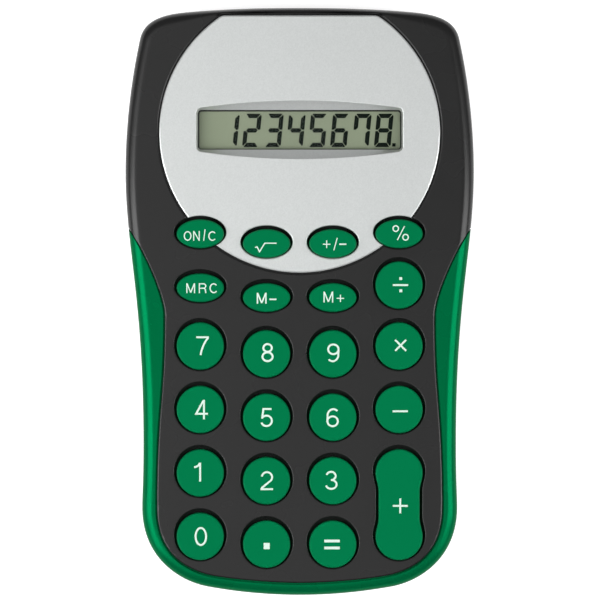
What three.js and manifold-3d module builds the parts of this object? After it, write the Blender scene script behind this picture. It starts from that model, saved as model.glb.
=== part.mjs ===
// Slim hand-held calculator, lying on its back.
// Millimetres. +Z points out of the face, +Y to the display end and +X to the user's right.
// The origin is the middle of the outline, on the surface that the four foot pips stand on.

import * as THREE from 'three';
import { mergeVertices } from 'three/addons/utils/BufferGeometryUtils.js';
import Module from 'manifold-3d';

const wasm = await Module();
wasm.setup();
const { Manifold, Mesh: SolidMesh } = wasm;

// Key field, seen from the front
const keyDiameter = 9.22;
const functionKeyHeight = 5.55;
const barKeyWaist = 8.02;
const barWaistShare = 0.42;
const columnGap = 3.74;
const rowGap = 3.19;
const functionRowGap = 5.01;
const divideGap = 2.71;
const percentGap = 2.64;
const innerDigitDrop = 1.52;
const innerFunctionDrop = 1.91;

// Keys in section: each hangs a little low in its hole, on a flange behind the face
const keyProud = 0.9;
const keyHoleGap = 0.44;
const keySagShare = 0.73;
const keyFlangeLap = 0.24;
const keyFlangeThickness = 0.8;
const keyRim = 0.45;

// Case mouldings
const gripReach = 7.48;
const bottomMargin = 6.92;
const topMargin = 1.57;
const footHeight = 0.5;
const footRadius = 2;
const sideWall = 1.6;
const rearWall = 1.5;
const frontWall = 1.5;
const rearRoom = 3;
const rearRimHeight = 2.4;
const sideDraft = 0.25;
const frontEdgeRadius = 2.2;
const rearEdgeRadius = 2.6;
const skirtWall = 1;
const skirtBevel = 0.15;
const tongueWall = 0.8;
const tongueHeight = 1;

// Side grip
const gripTopWall = 1.5;
const gripInnerWall = 1.3;
const clampLipHeight = 1.1;
const clampLipLap = 0.9;

// Face plate, its display well and the window behind it
const plateDiameter = 55;
const plateRiseShare = 0.7247;
const plateChordShare = 0.8288;
const plateCornerRadius = 2;
const plateThickness = 0.8;
const plateBevel = 0.25;
const windowWidth = 39.9;
const windowHeight = 7.5;
const windowRise = 0.46;
const wellDepth = 1;
const wellCrown = 1.55;
const wellLip = 0.4;
const wellWall = 1.1;
const wellRim = 0.6;
const windowLap = 1.3;
const windowThickness = 0.6;

// Display sandwich and its frame
const glassMargin = 3.25;
const glassThickness = 0.55;
const glassLedge = 2.2;
const polariserThickness = 0.2;
const polariserInset = 1.8;
const reflectorThickness = 0.3;
const connectorWidth = 1.4;
const connectorInset = 2.5;
const frameWall = 1.3;

// Circuit board and what is soldered to its back
const boardThickness = 1;
const boardSideReach = 1.45;
const boardEndInset = 5.5;
const chipRadius = 4.5;
const chipHeight = 1.3;
const chipDrop = 13.1;
const capacitorRadius = 1;
const capacitorLength = 4;
const capacitorOffset = 8.5;
const resistorRadius = 0.8;
const resistorWaistShare = 0.75;
const resistorLength = 3.6;
const resistorOffset = 9;

// Keypad mat
const matThickness = 0.7;
const matTopMargin = 1;
const domeHeight = 1;
const domeBaseRadius = 3.6;
const domeTopRadius = 2.4;
const domeWall = 0.5;
const pillRadius = 1.4;
const pillThickness = 0.25;

// Button cell, its bay and its contacts
const cellDiameter = 11.6;
const cellHeight = 3.05;
const cellCapShare = 0.76;
const cellCapStep = 0.35;
const cellBevel = 0.3;
const cellWallGap = 0.3;
const bayWall = 1;
const platformHeight = 1.2;
const platformMargin = 2;
const contactThickness = 0.25;
const contactWidth = 3.2;
const contactFoot = 3.4;
const contactSpringGap = 0.1;
const contactFinger = 1.5;
const contactTail = 2.5;

// Battery door, hooked under the case's lip at one end
const doorThickness = 1;
const doorSink = 0.1;
const doorSideReach = 3.2;
const doorHookReach = 4;
const doorLatchReach = 1.4;
const doorGap = 0.2;
const doorCornerRadius = 1.2;
const doorPadHeight = 0.45;
const doorPadWall = 1.2;
const doorPadShare = 0.8;
const doorNotchRadius = 2.2;
const doorNotchDepth = 0.4;
const lipThickness = 1.1;
const hookWidth = 3;
const hookSpacing = 12;
const hookReach = 1.3;
const hookThickness = 0.6;
const hookRoot = 0.9;
const hookSetback = 0.3;

// Screws with the bosses and posts that they join
const bossRadius = 2.1;
const bossLift = 0.4;
const pilotClearance = 0.2;
const pilotRoof = 0.3;
const postWall = 0.6;
const postFloor = 1.5;
const screwHeadRadius = 1.9;
const screwHeadHeight = 1.3;
const screwHeadCrown = 0.45;
const screwShankRadius = 0.95;
const screwLength = 5;
const screwTip = 0.8;
const screwSlotWidth = 0.6;
const screwSlotDepth = 0.7;
const topScrewDrop = 11;
const topScrewInset = 5.2;
const middleScrewDrop = 41;
const middleScrewInset = 5.5;

// Ribs and locating studs
const ribThickness = 0.9;
const rearRibSideShare = 0.5;
const rearRibEndShares = [-0.82, 0.5];
const rearRibShares = [-0.72, -0.4, -0.08, 0.22];
const studRadius = 0.8;
const studDepth = 0.8;
const footShares = [[0.7, 0.69], [-0.7, 0.69], [0.66, -0.77], [-0.66, -0.77]];

// Fits: seams between mouldings, running room, room under stacked faces and round inner pieces
const seamGap = 0.3;
const runningGap = 0.3;
const seatGap = 0.05;
const roomGap = 0.5;
const cutOverrun = 1;

// Facets
const edgeSteps = 3;
const keySides = 16;
const barEndSides = 8;
const barSideSteps = 3;
const smallSides = 10;
const domeSides = 8;
const pillSides = 6;
const roundSides = 18;
const plateSides = 34;
const cornerSteps = 2;
const wellSteps = 8;

// Right half of the case's outline, from the top middle to the bottom middle, as cubic curves:
// a start, then two handles and an end for each curve, in shares of half the width and length
const outlineShares = [
  [0, 1],
  [0.153, 1], [0.408, 0.999], [0.666, 0.984],
  [0.782, 0.977], [0.892, 0.959], [0.916, 0.895],
  [0.965, 0.764], [1, 0.603], [1, 0.442],
  [1, 0.18], [0.897, 0.021], [0.897, -0.483],
  [0.897, -0.619], [0.904, -0.658], [0.904, -0.702],
  [0.904, -0.875], [0.687, -0.955], [0.523, -0.972],
  [0.417, -0.983], [0.234, -1], [0, -1]
];
const outlineSteps = [2, 4, 3, 5, 2, 5, 2];

// Edge of the side grip against the face, from its tip to the bottom middle, as the same kind of
// curves: shares of the face's narrowest half width, of the grip's reach and of half the length
const gripEdgeShares = [
  [1, 1.013, 0.251],
  [1, 0.709, 0.212], [1, 0, 0.028], [1, 0, -0.047],
  [1, 0, -0.335], [1.058, 0, -0.358], [1.058, 0, -0.7],
  [1.058, 0, -0.818], [0.946, 0, -0.901], [0.68, 0, -0.934],
  [0.543, 0, -0.95], [0.199, 0, -0.963], [0, 0, -0.963]
];
const gripEdgeSteps = [5, 4, 5, 2];

// Sizes that follow from the key field
const keyRadius = keyDiameter / 2;
const columnPitch = keyDiameter + columnGap;
const rowPitch = keyDiameter + rowGap;
const outerColumnX = columnPitch * 3 / 2;
const innerColumnX = columnPitch / 2;
const keySag = keyHoleGap * keySagShare;
const keyFlange = keyHoleGap + keySag + keyFlangeLap;
const flangeRadius = keyRadius + keyFlange;
const plateRadius = plateDiameter / 2;

// Distances from the bottom end of the case up the face, then the same about the middle
const bottomRowRise = bottomMargin + keyRadius;
const topDigitRise = bottomRowRise + rowPitch * 3;
const divideRise = topDigitRise + keyDiameter + divideGap;
const clearRise = divideRise + keyRadius + percentGap + functionKeyHeight / 2;
const memoryRise = clearRise - functionKeyHeight - functionRowGap;
const plateRise = clearRise + plateRadius * plateRiseShare;
const plateTopRise = plateRise + plateRadius * plateChordShare;
const halfLength = (plateTopRise + topMargin) / 2;
const divideY = divideRise - halfLength;
const clearY = clearRise - halfLength;
const memoryY = memoryRise - halfLength;
const digitRowYs = [3, 2, 1, 0].map((row) => bottomRowRise + rowPitch * row - halfLength);
const plateY = plateRise - halfLength;
const windowY = plateY + windowRise;
const glassHalfSpan = windowWidth / 2 + glassMargin;
const glassHalfRise = windowHeight / 2 + glassMargin;
const frameReach = runningGap + frameWall;

// Widths, from the outer keys out through the skirt to the grip's outside
const faceWaistX = outerColumnX + flangeRadius + runningGap + skirtWall + seamGap;
const halfWidth = faceWaistX + gripReach;
const boardHalfWidth = outerColumnX + keyRadius + boardSideReach;

// Heights, from the foot pips up through the stack to the key tops
const backZ = footHeight;
const rearInnerZ = backZ + rearWall;
const partingZ = rearInnerZ + rearRimHeight;
const boardZ = rearInnerZ + rearRoom;
const boardTopZ = boardZ + boardThickness;
const matZ = boardTopZ + seatGap;
const matTopZ = matZ + matThickness;
const domeTopZ = matTopZ + domeHeight;
const keyBottomZ = domeTopZ + seatGap;
const flangeTopZ = keyBottomZ + keyFlangeThickness;
const frontInnerZ = flangeTopZ + seatGap * 2;
const faceZ = frontInnerZ + frontWall;
const keyTopZ = faceZ + keyProud;
const plateFloorZ = faceZ - plateThickness;
const wellBottomZ = faceZ - wellDepth - wellRim;

// Turns a three.js geometry into a solid that can be joined and cut
function toSolid(geometry) {
  const bare = new THREE.BufferGeometry();
  bare.setAttribute('position', geometry.getAttribute('position'));
  bare.setIndex(geometry.index);
  const merged = mergeVertices(bare);
  return new Manifold(new SolidMesh({
    numProp: 3,
    vertProperties: merged.getAttribute('position').array,
    triVerts: new Uint32Array(merged.index.array)
  }));
}

function joined(solids) {
  return solids.reduce((whole, solid) => whole.add(solid));
}

// Points along a chain of cubic curves: a start, then two handles and an end for each curve
function chainPoints(places, steps) {
  const points = [places[0]];
  steps.forEach((count, index) => {
    const curve = new THREE.CubicBezierCurve(...places.slice(index * 3, index * 3 + 4));
    points.push(...curve.getPoints(count).slice(1));
  });
  return points;
}

// Closes a right half that runs from top to bottom with its mirror image, anticlockwise
function mirrored(half) {
  const offAxis = half.filter((point) => point.x > 0);
  return [...half.slice().reverse(), ...offAxis.map((point) => new THREE.Vector2(-point.x, point.y))];
}

// Unit normals to the right of a path's points, lengthened at each bend to keep its sides parallel
function mitreAt(before, point, after) {
  const into = point.clone().sub(before).normalize();
  const out = after.clone().sub(point).normalize();
  const normal = new THREE.Vector2(into.y + out.y, -into.x - out.x);
  return normal.divideScalar(1 + into.dot(out));
}

// Moves every side of a closed anticlockwise outline outwards, or inwards when negative
function grown(points, distance) {
  return points.map((point, index) => {
    const mitre = mitreAt(points.at(index - 1), point, points[(index + 1) % points.length]);
    return point.clone().addScaledVector(mitre, distance);
  });
}

function circlePoints(x, y, radius, sides) {
  return ellipsePoints(x, y, radius, radius, sides);
}

function ellipsePoints(x, y, radiusX, radiusY, sides) {
  return Array.from({ length: sides }, (unused, index) => {
    const angle = 2 * Math.PI * (index + 1 / 2) / sides;
    return new THREE.Vector2(x + radiusX * Math.cos(angle), y + radiusY * Math.sin(angle));
  });
}

function boxPoints(x0, y0, x1, y1) {
  return [[x0, y0], [x1, y0], [x1, y1], [x0, y1]].map(([x, y]) => new THREE.Vector2(x, y));
}

function roundedBoxPoints(x0, y0, x1, y1, radius) {
  const path = new THREE.Path();
  path.absarc(x1 - radius, y0 + radius, radius, -Math.PI / 2, 0);
  path.absarc(x1 - radius, y1 - radius, radius, 0, Math.PI / 2);
  path.absarc(x0 + radius, y1 - radius, radius, Math.PI / 2, Math.PI);
  path.absarc(x0 + radius, y0 + radius, radius, Math.PI, 3 * Math.PI / 2);
  return path.getPoints(cornerSteps);
}

// A closed body through rings of equally many points, from the lowest up, with flat ends
function loft(rings) {
  const count = rings[0].points.length;
  const positions = rings.flatMap((ring) => ring.points.flatMap((point) => [point.x, point.y, ring.z]));
  const faces = [];
  for (let index = 0; index < count; index += 1) {
    const next = (index + 1) % count;
    for (let low = 0; low < (rings.length - 1) * count; low += count) {
      faces.push(low + index, low + next, low + next + count);
      faces.push(low + index, low + next + count, low + index + count);
    }
  }
  [rings[0], rings.at(-1)].forEach((ring, end) => {
    const first = end * (rings.length - 1) * count;
    const middle = ring.points.reduce((sum, point) => sum.add(point), new THREE.Vector2());
    middle.divideScalar(count);
    const hub = positions.push(middle.x, middle.y, ring.z) / 3 - 1;
    for (let index = 0; index < count; index += 1) {
      const side = [first + index, first + (index + 1) % count];
      faces.push(hub, side[1 - end], side[end]);
    }
  });
  const geometry = new THREE.BufferGeometry();
  geometry.setAttribute('position', new THREE.Float32BufferAttribute(positions, 3));
  geometry.setIndex(faces);
  return toSolid(geometry);
}

// An outline extruded straight up between two heights
function extruded(points, z0, z1) {
  const geometry = new THREE.ExtrudeGeometry(new THREE.Shape(points), {
    depth: z1 - z0,
    bevelEnabled: false
  });
  geometry.deleteAttribute('normal');
  geometry.deleteAttribute('uv');
  geometry.translate(0, 0, z0);
  return mergeVertices(geometry);
}

function prism(points, z0, z1) {
  return toSolid(extruded(points, z0, z1));
}

function disc(x, y, radius, z0, z1, sides = smallSides) {
  return prism(circlePoints(x, y, radius, sides), z0, z1);
}

function block(x0, y0, x1, y1, z0, z1) {
  return prism(boxPoints(x0, y0, x1, y1), z0, z1);
}

// A turned body about +Z, from radius and height pairs that start and end on the axis
function turned(profile, sides) {
  const points = profile.map(([radius, height]) => new THREE.Vector2(radius, height));
  const geometry = new THREE.LatheGeometry(points, sides);
  geometry.deleteAttribute('normal');
  geometry.deleteAttribute('uv');
  geometry.rotateX(Math.PI / 2);
  return mergeVertices(geometry);
}

// A bent strip of sheet metal along a path of x and z, between two places along Y
function strip(path, y0, y1) {
  const sides = path.map((point, index) => {
    const before = index > 0 ? path[index - 1] : point.clone().multiplyScalar(2).sub(path[1]);
    const after = path[index + 1] ?? point.clone().multiplyScalar(2).sub(path[index - 1]);
    return mitreAt(before, point, after).multiplyScalar(contactThickness / 2);
  });
  const right = path.map((point, index) => point.clone().add(sides[index]));
  const left = path.map((point, index) => point.clone().sub(sides[index]));
  const geometry = extruded([...right, ...left.reverse()], -y1, -y0);
  geometry.rotateX(Math.PI / 2);
  return toSolid(geometry);
}

const outline = mirrored(chainPoints(
  outlineShares.map(([x, y]) => new THREE.Vector2(x * halfWidth, y * halfLength)),
  outlineSteps
));

const gripEdge = chainPoints(
  gripEdgeShares.map(([waist, reach, y]) => (
    new THREE.Vector2(waist * faceWaistX + reach * gripReach, y * halfLength)
  )),
  gripEdgeSteps
);

// The face's plan inside the grip, closed well outside the case above the grip's tips
const faceZone = mirrored([
  new THREE.Vector2(halfWidth + gripReach, halfLength + gripReach),
  new THREE.Vector2(halfWidth + gripReach, gripEdge[0].y + gripReach),
  ...gripEdge
]);

function faceZonePrism(distance, z0, z1) {
  return prism(grown(faceZone, distance), z0, z1);
}

// Everything more than a distance inside the case's outline, between two heights
function insidePrism(distance, z0, z1) {
  return prism(grown(outline, -distance), z0, z1);
}

// Everything level with the grip, up to a little past its lip's upper ends, between two heights
function gripBand(distance, z0, z1) {
  const reach = halfWidth + cutOverrun;
  const topY = gripEdge[gripEdgeSteps[0]].y + distance;
  return block(-reach, -halfLength - cutOverrun, reach, topY, z0, z1);
}

// Half the case's width at a height up the face
function outlineHalfWidthAt(y) {
  const index = outline.findIndex((point) => point.x > 0 && point.y >= y);
  const [low, high] = [outline[index - 1], outline[index]];
  return THREE.MathUtils.mapLinear(y, low.y, high.y, low.x, high.x);
}

// The case's outside in front of the parting face: up the drafted sides and over the front edge
function frontForm() {
  const rings = [{ points: grown(outline, -sideDraft), z: partingZ }];
  for (let step = 0; step <= edgeSteps; step += 1) {
    const angle = Math.PI / 2 * step / edgeSteps;
    const inset = frontEdgeRadius * (1 - Math.cos(angle));
    const z = faceZ - frontEdgeRadius * (1 - Math.sin(angle));
    rings.push({ points: grown(outline, -inset), z });
  }
  return loft(rings);
}

// The case's outside behind the parting face: from the flat back round its edge and up
function rearForm() {
  const rings = [];
  for (let step = edgeSteps; step >= 0; step -= 1) {
    const angle = Math.PI / 2 * step / edgeSteps;
    const inset = sideDraft + rearEdgeRadius * (1 - Math.cos(angle));
    const z = backZ + rearEdgeRadius * (1 - Math.sin(angle));
    rings.push({ points: grown(outline, -inset), z });
  }
  rings.push({ points: grown(outline, -sideDraft), z: partingZ });
  return loft(rings);
}

// Each key's name, column from -2 to 2 with no 0, row and kind of cap
const barRowY = (digitRowYs[2] + digitRowYs[3]) / 2;
const keys = [
  ['key_on_clear', -2, clearY, 'oval'],
  ['key_square_root', -1, clearY, 'oval'],
  ['key_plus_minus', 1, clearY, 'oval'],
  ['key_percent', 2, clearY, 'oval'],
  ['key_memory_recall', -2, memoryY, 'oval'],
  ['key_memory_minus', -1, memoryY, 'oval'],
  ['key_memory_plus', 1, memoryY, 'oval'],
  ['key_divide', 2, divideY, 'round'],
  ['key_7', -2, digitRowYs[0], 'round'],
  ['key_8', -1, digitRowYs[0], 'round'],
  ['key_9', 1, digitRowYs[0], 'round'],
  ['key_multiply', 2, digitRowYs[0], 'round'],
  ['key_4', -2, digitRowYs[1], 'round'],
  ['key_5', -1, digitRowYs[1], 'round'],
  ['key_6', 1, digitRowYs[1], 'round'],
  ['key_minus', 2, digitRowYs[1], 'round'],
  ['key_1', -2, digitRowYs[2], 'round'],
  ['key_2', -1, digitRowYs[2], 'round'],
  ['key_3', 1, digitRowYs[2], 'round'],
  ['key_plus', 2, barRowY, 'bar'],
  ['key_0', -2, digitRowYs[3], 'round'],
  ['key_point', -1, digitRowYs[3], 'round'],
  ['key_equals', 1, digitRowYs[3], 'round']
].map(([name, column, rowY, kind]) => {
  const drop = kind === 'oval' ? innerFunctionDrop : innerDigitDrop;
  const inner = Math.abs(column) === 1;
  const x = Math.sign(column) * (inner ? innerColumnX : outerColumnX);
  return { name, kind, x, y: inner ? rowY - drop : rowY };
});

// Plan of the long key about its middle, grown by a distance: round ends and a drawn-in waist
function barPoints(distance) {
  const radius = keyRadius + distance;
  const waist = barKeyWaist / 2 + distance;
  const centre = rowPitch / 2;
  const right = [];
  for (let step = 1; step < barSideSteps * 2; step += 1) {
    const height = step / barSideSteps - 1;
    const flare = THREE.MathUtils.smoothstep(Math.abs(height), barWaistShare, 1);
    right.push(new THREE.Vector2(waist + (radius - waist) * flare, height * centre));
  }
  for (let step = 0; step < barEndSides; step += 1) {
    const angle = Math.PI * step / barEndSides;
    right.push(new THREE.Vector2(radius * Math.cos(angle), centre + radius * Math.sin(angle)));
  }
  const left = new THREE.Vector2(-radius, centre);
  return [...right, left, ...right.map((point) => point.clone().negate()), left.clone().negate()];
}

// Plan of a kind of key about a point, grown by a distance
function keyPoints(kind, distance, x = 0, y = 0) {
  if (kind === 'bar') {
    return barPoints(distance).map((point) => point.add(new THREE.Vector2(x, y)));
  }
  const radiusY = kind === 'oval' ? functionKeyHeight / 2 : keyRadius;
  return ellipsePoints(x, y, keyRadius + distance, radiusY + distance, keySides);
}

function keyCap(kind) {
  return loft([
    { points: keyPoints(kind, keyFlange), z: keyBottomZ },
    { points: keyPoints(kind, keyFlange), z: flangeTopZ },
    { points: keyPoints(kind, 0), z: flangeTopZ },
    { points: keyPoints(kind, 0), z: keyTopZ - keyRim },
    { points: keyPoints(kind, -keyRim), z: keyTopZ }
  ]);
}

// A key's hole in the face, whose middle lies above the key's
function keyHole(key) {
  const points = keyPoints(key.kind, keyHoleGap, key.x, key.y + keySag);
  return prism(points, frontInnerZ - cutOverrun, faceZ + cutOverrun);
}

// The room that a key's flange needs behind the face
function keyRoom(key) {
  return prism(keyPoints(key.kind, keyFlange + runningGap, key.x, key.y), partingZ, frontInnerZ);
}

// Screw places: at the top corners, at the sides below the plate and between the lowest keys
const outerLowKey = new THREE.Vector2(outerColumnX, digitRowYs[3]);
const innerLowKey = new THREE.Vector2(innerColumnX, digitRowYs[3] - innerDigitDrop);
const lowKeyGap = outerLowKey.clone().sub(innerLowKey);
const lowScrewReach = flangeRadius + bossRadius + runningGap + seatGap;
const lowScrewFall = Math.sqrt(lowScrewReach ** 2 - (lowKeyGap.length() / 2) ** 2);
const lowScrew = new THREE.Vector2(lowKeyGap.y, -lowKeyGap.x).setLength(lowScrewFall);
lowScrew.add(innerLowKey).addScaledVector(lowKeyGap, 1 / 2);
const topScrewY = halfLength - topScrewDrop;
const middleScrewY = halfLength - middleScrewDrop;
const screwPlaces = [
  [outlineHalfWidthAt(topScrewY) - topScrewInset, topScrewY],
  [outlineHalfWidthAt(middleScrewY) - middleScrewInset, middleScrewY],
  [lowScrew.x, lowScrew.y]
].flatMap(([x, y]) => [[-x, y], [x, y]]);
const bossZ = partingZ + bossLift;
const postTopZ = bossZ - seatGap;
const screwSeatZ = postTopZ - postFloor;
const counterboreRadius = screwHeadRadius + runningGap;
const postRadius = counterboreRadius + postWall;

// Studs below the front case's ribs, between the rows, which locate the mat and the board
const studPlaces = [
  (memoryY + clearY - innerFunctionDrop) / 2,
  (digitRowYs[0] + digitRowYs[1] - innerDigitDrop) / 2,
  (digitRowYs[2] + digitRowYs[3] - innerDigitDrop) / 2
].flatMap((y) => [[-columnPitch, y], [columnPitch, y]]);

function screwDiscs(radius, z0, z1) {
  return joined(screwPlaces.map(([x, y]) => disc(x, y, radius, z0, z1)));
}

// A ring with two long sides, each arched by a crown, round the window
function lensPoints(halfSpan, halfHeight, crown) {
  return [-1, 1].flatMap((side) => (
    Array.from({ length: wellSteps + 1 }, (unused, step) => {
      const place = 2 * step / wellSteps - 1;
      const height = halfHeight + crown * (1 - place ** 2);
      return new THREE.Vector2(-side * place * halfSpan, windowY + side * height);
    })
  ));
}

// The display well's mouth, grown by a distance
function wellPoints(distance) {
  const reach = wellLip + distance;
  return lensPoints(windowWidth / 2 + reach, windowHeight / 2 + reach, wellCrown);
}

// The plate's plan: a disc cut by a chord at the top, with rounded corners, grown by a distance
function platePoints(distance) {
  const radius = plateRadius + distance;
  const corner = plateCornerRadius + distance;
  const cornerY = plateRadius * plateChordShare - plateCornerRadius;
  const cornerX = Math.sqrt((radius - corner) ** 2 - cornerY ** 2);
  const cornerAngle = Math.atan2(cornerY, cornerX);
  const path = new THREE.Path();
  path.absarc(0, plateY, radius, Math.PI - cornerAngle, cornerAngle);
  path.absarc(cornerX, plateY + cornerY, corner, cornerAngle, Math.PI / 2);
  path.absarc(-cornerX, plateY + cornerY, corner, Math.PI / 2, Math.PI - cornerAngle);
  const [disk, , right, , left] = path.curves;
  return [
    ...disk.getPoints(plateSides).slice(0, -1),
    ...right.getPoints(cornerSteps),
    ...left.getPoints(cornerSteps).slice(0, -1)
  ];
}

// Front case: a shell with its skirt inside the grip, key holes, plate recess, bosses and ribs
function frontCase() {
  const lowZ = partingZ - cutOverrun;
  const inset = sideDraft + sideWall;
  const outside = frontForm().intersect(loft([
    { points: grown(faceZone, -seamGap), z: lowZ },
    { points: grown(faceZone, -seamGap), z: faceZ - skirtBevel },
    { points: grown(faceZone, -seamGap - skirtBevel), z: faceZ }
  ]));
  const room = insidePrism(inset, lowZ, frontInnerZ)
    .intersect(faceZonePrism(-seamGap - skirtWall, lowZ, frontInnerZ));
  const skirtZ = partingZ + clampLipHeight + seatGap;
  const lipRoom = gripBand(seamGap, lowZ, skirtZ)
    .subtract(faceZonePrism(-seamGap - skirtWall - cutOverrun, lowZ, skirtZ));
  const ribZ = matTopZ + seatGap * 2;
  const rootZ = frontInnerZ + seatGap;
  const ribs = [-columnPitch, 0, columnPitch].map((x) => (
    block(x - ribThickness / 2, innerLowKey.y, x + ribThickness / 2, clearY, ribZ, rootZ)
  ));
  const studs = studPlaces.map(([x, y]) => disc(x, y, studRadius, boardTopZ - studDepth, rootZ));
  const pilotRadius = screwShankRadius + pilotClearance;
  return outside
    .subtract(room)
    .subtract(lipRoom)
    .add(joined([screwDiscs(bossRadius, bossZ, rootZ), ...ribs, ...studs]))
    .subtract(joined(keys.flatMap((key) => [keyHole(key), keyRoom(key)])))
    .subtract(prism(platePoints(seamGap), plateFloorZ, faceZ + cutOverrun))
    .subtract(prism(wellPoints(wellWall + seamGap), frontInnerZ - cutOverrun, faceZ))
    .subtract(screwDiscs(pilotRadius, bossZ - cutOverrun, plateFloorZ - pilotRoof));
}

// Side grip: a U-shaped moulding round the lower part, hollow from behind, with a lip that the
// front case's skirt clamps on the rear case
function sideGrip() {
  const lowZ = partingZ - cutOverrun;
  const inset = sideDraft + sideWall;
  const hollow = insidePrism(inset, lowZ, faceZ - gripTopWall)
    .subtract(faceZonePrism(gripInnerWall, lowZ, faceZ));
  const lipZ = partingZ + clampLipHeight;
  const lip = faceZonePrism(gripInnerWall, partingZ, lipZ)
    .subtract(faceZonePrism(-seamGap - clampLipLap, lowZ, faceZ))
    .intersect(insidePrism(sideWall, partingZ, lipZ))
    .intersect(gripBand(0, partingZ, lipZ))
    .subtract(screwDiscs(postRadius + runningGap, lowZ, faceZ));
  return frontForm()
    .subtract(faceZonePrism(0, lowZ, faceZ + cutOverrun))
    .subtract(hollow)
    .add(lip);
}

const cellRadius = cellDiameter / 2;
const cellY = windowY + glassHalfRise + frameReach + roomGap + contactWidth / 2;
const doorZ = backZ + doorSink;
const doorTopZ = doorZ + doorThickness;
const cellZ = doorTopZ + doorPadHeight + seatGap;
const cellTopZ = cellZ + cellHeight;
const bayRadius = cellRadius + cellWallGap;
const doorHalfWidth = cellRadius + doorSideReach;
const doorLowY = cellY - cellRadius - doorHookReach;
const doorHighY = cellY + cellRadius + doorLatchReach;
const hingeY = doorLowY - doorGap / 2;
const hookZ = backZ + lipThickness + seatGap * 2;
const hookTopZ = hookZ + hookThickness;
const contactWallX = cellRadius + contactSpringGap + contactThickness / 2;

// What the battery side cuts from the rear case: the door's pocket, the room that its hooks swing
// through, the cell's bore, the contact's slot and the finger notch
function batteryCuts() {
  const lowZ = backZ - cutOverrun;
  const pocketZ = doorTopZ + seatGap;
  const cuts = [
    block(
      -doorHalfWidth - doorGap, doorLowY - doorGap, doorHalfWidth + doorGap, doorHighY + doorGap,
      lowZ, pocketZ
    ),
    disc(0, cellY, bayRadius, backZ, boardZ, roundSides),
    disc(0, doorHighY + doorGap, doorNotchRadius, lowZ, backZ + doorNotchDepth)
  ];
  const slotX = contactWallX + contactThickness / 2 + runningGap;
  const slotHalf = contactWidth / 2 + runningGap;
  const slotZ = cellTopZ - contactTail - runningGap;
  cuts.push(block(-slotX, cellY - slotHalf, 0, cellY + slotHalf, slotZ, boardZ));
  const tipSwing = Math.hypot(hookReach + doorGap / 2, hookTopZ - backZ);
  const rootSwing = Math.hypot(hookSetback + hookRoot + doorGap / 2, hookTopZ - backZ);
  for (const side of [-1, 1]) {
    const x = side * hookSpacing / 2;
    const half = hookWidth / 2 + runningGap;
    cuts.push(block(
      x - half, doorLowY - hookReach - runningGap, x + half, hingeY + rootSwing + doorGap,
      backZ + lipThickness, backZ + Math.max(tipSwing, rootSwing) + doorGap
    ));
  }
  return joined(cuts);
}

// Rear case: a tray with foot pips, screw posts, board ribs, the cell's bay, a wall under the
// grip's lip and a tongue inside the front case's rim
function rearCase() {
  const inset = sideDraft + sideWall;
  const rootZ = backZ + rearWall / 2;
  const ribTopZ = boardZ - seatGap * 2;
  const tray = rearForm().subtract(insidePrism(inset, rearInnerZ, partingZ + cutOverrun));
  const posts = screwDiscs(postRadius, rootZ, postTopZ);
  const feet = footShares.map(([x, y]) => (
    disc(x * halfWidth, y * halfLength, footRadius, 0, rootZ)
  ));
  const tongueY = middleScrewY + postRadius + roomGap;
  const tongueBand = block(-halfWidth, tongueY, halfWidth, halfLength, rootZ, faceZ);
  const tongueInset = inset + seamGap;
  const tongue = insidePrism(tongueInset, rootZ, partingZ + tongueHeight)
    .add(insidePrism(sideWall, rootZ, partingZ))
    .subtract(insidePrism(tongueInset + tongueWall, backZ, faceZ))
    .subtract(screwDiscs(postRadius + runningGap + tongueWall, partingZ, faceZ))
    .intersect(tongueBand);
  const clampWall = faceZonePrism(0, rootZ, partingZ)
    .subtract(faceZonePrism(-seamGap - skirtWall, backZ, faceZ))
    .intersect(insidePrism(sideWall, rootZ, partingZ))
    .intersect(gripBand(0, rootZ, partingZ));
  const ribX = rearRibSideShare * halfWidth;
  const ribHalfSpan = faceWaistX - seamGap - skirtWall;
  const halfRib = ribThickness / 2;
  const [ribLowY, ribHighY] = rearRibEndShares.map((share) => share * halfLength);
  const ribs = rearRibShares.map((share) => share * halfLength).map((y) => (
    block(-ribHalfSpan, y - halfRib, ribHalfSpan, y + halfRib, rootZ, ribTopZ)
  ));
  for (const x of [-ribX, ribX]) {
    ribs.push(block(x - halfRib, ribLowY, x + halfRib, ribHighY, rootZ, ribTopZ));
  }
  const platform = block(
    -doorHalfWidth - platformMargin, doorLowY - platformMargin,
    doorHalfWidth + platformMargin, doorHighY + platformMargin,
    rootZ, rearInnerZ + platformHeight
  ).intersect(insidePrism(sideWall, rootZ, faceZ));
  const bay = disc(0, cellY, bayRadius + bayWall, rootZ, ribTopZ, roundSides);
  return tray
    .add(joined([posts, ...feet, tongue, clampWall, ...ribs, platform, bay]))
    .subtract(batteryCuts())
    .subtract(screwDiscs(counterboreRadius, backZ - cutOverrun, screwSeatZ))
    .subtract(screwDiscs(screwShankRadius + runningGap, backZ, faceZ));
}

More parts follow.
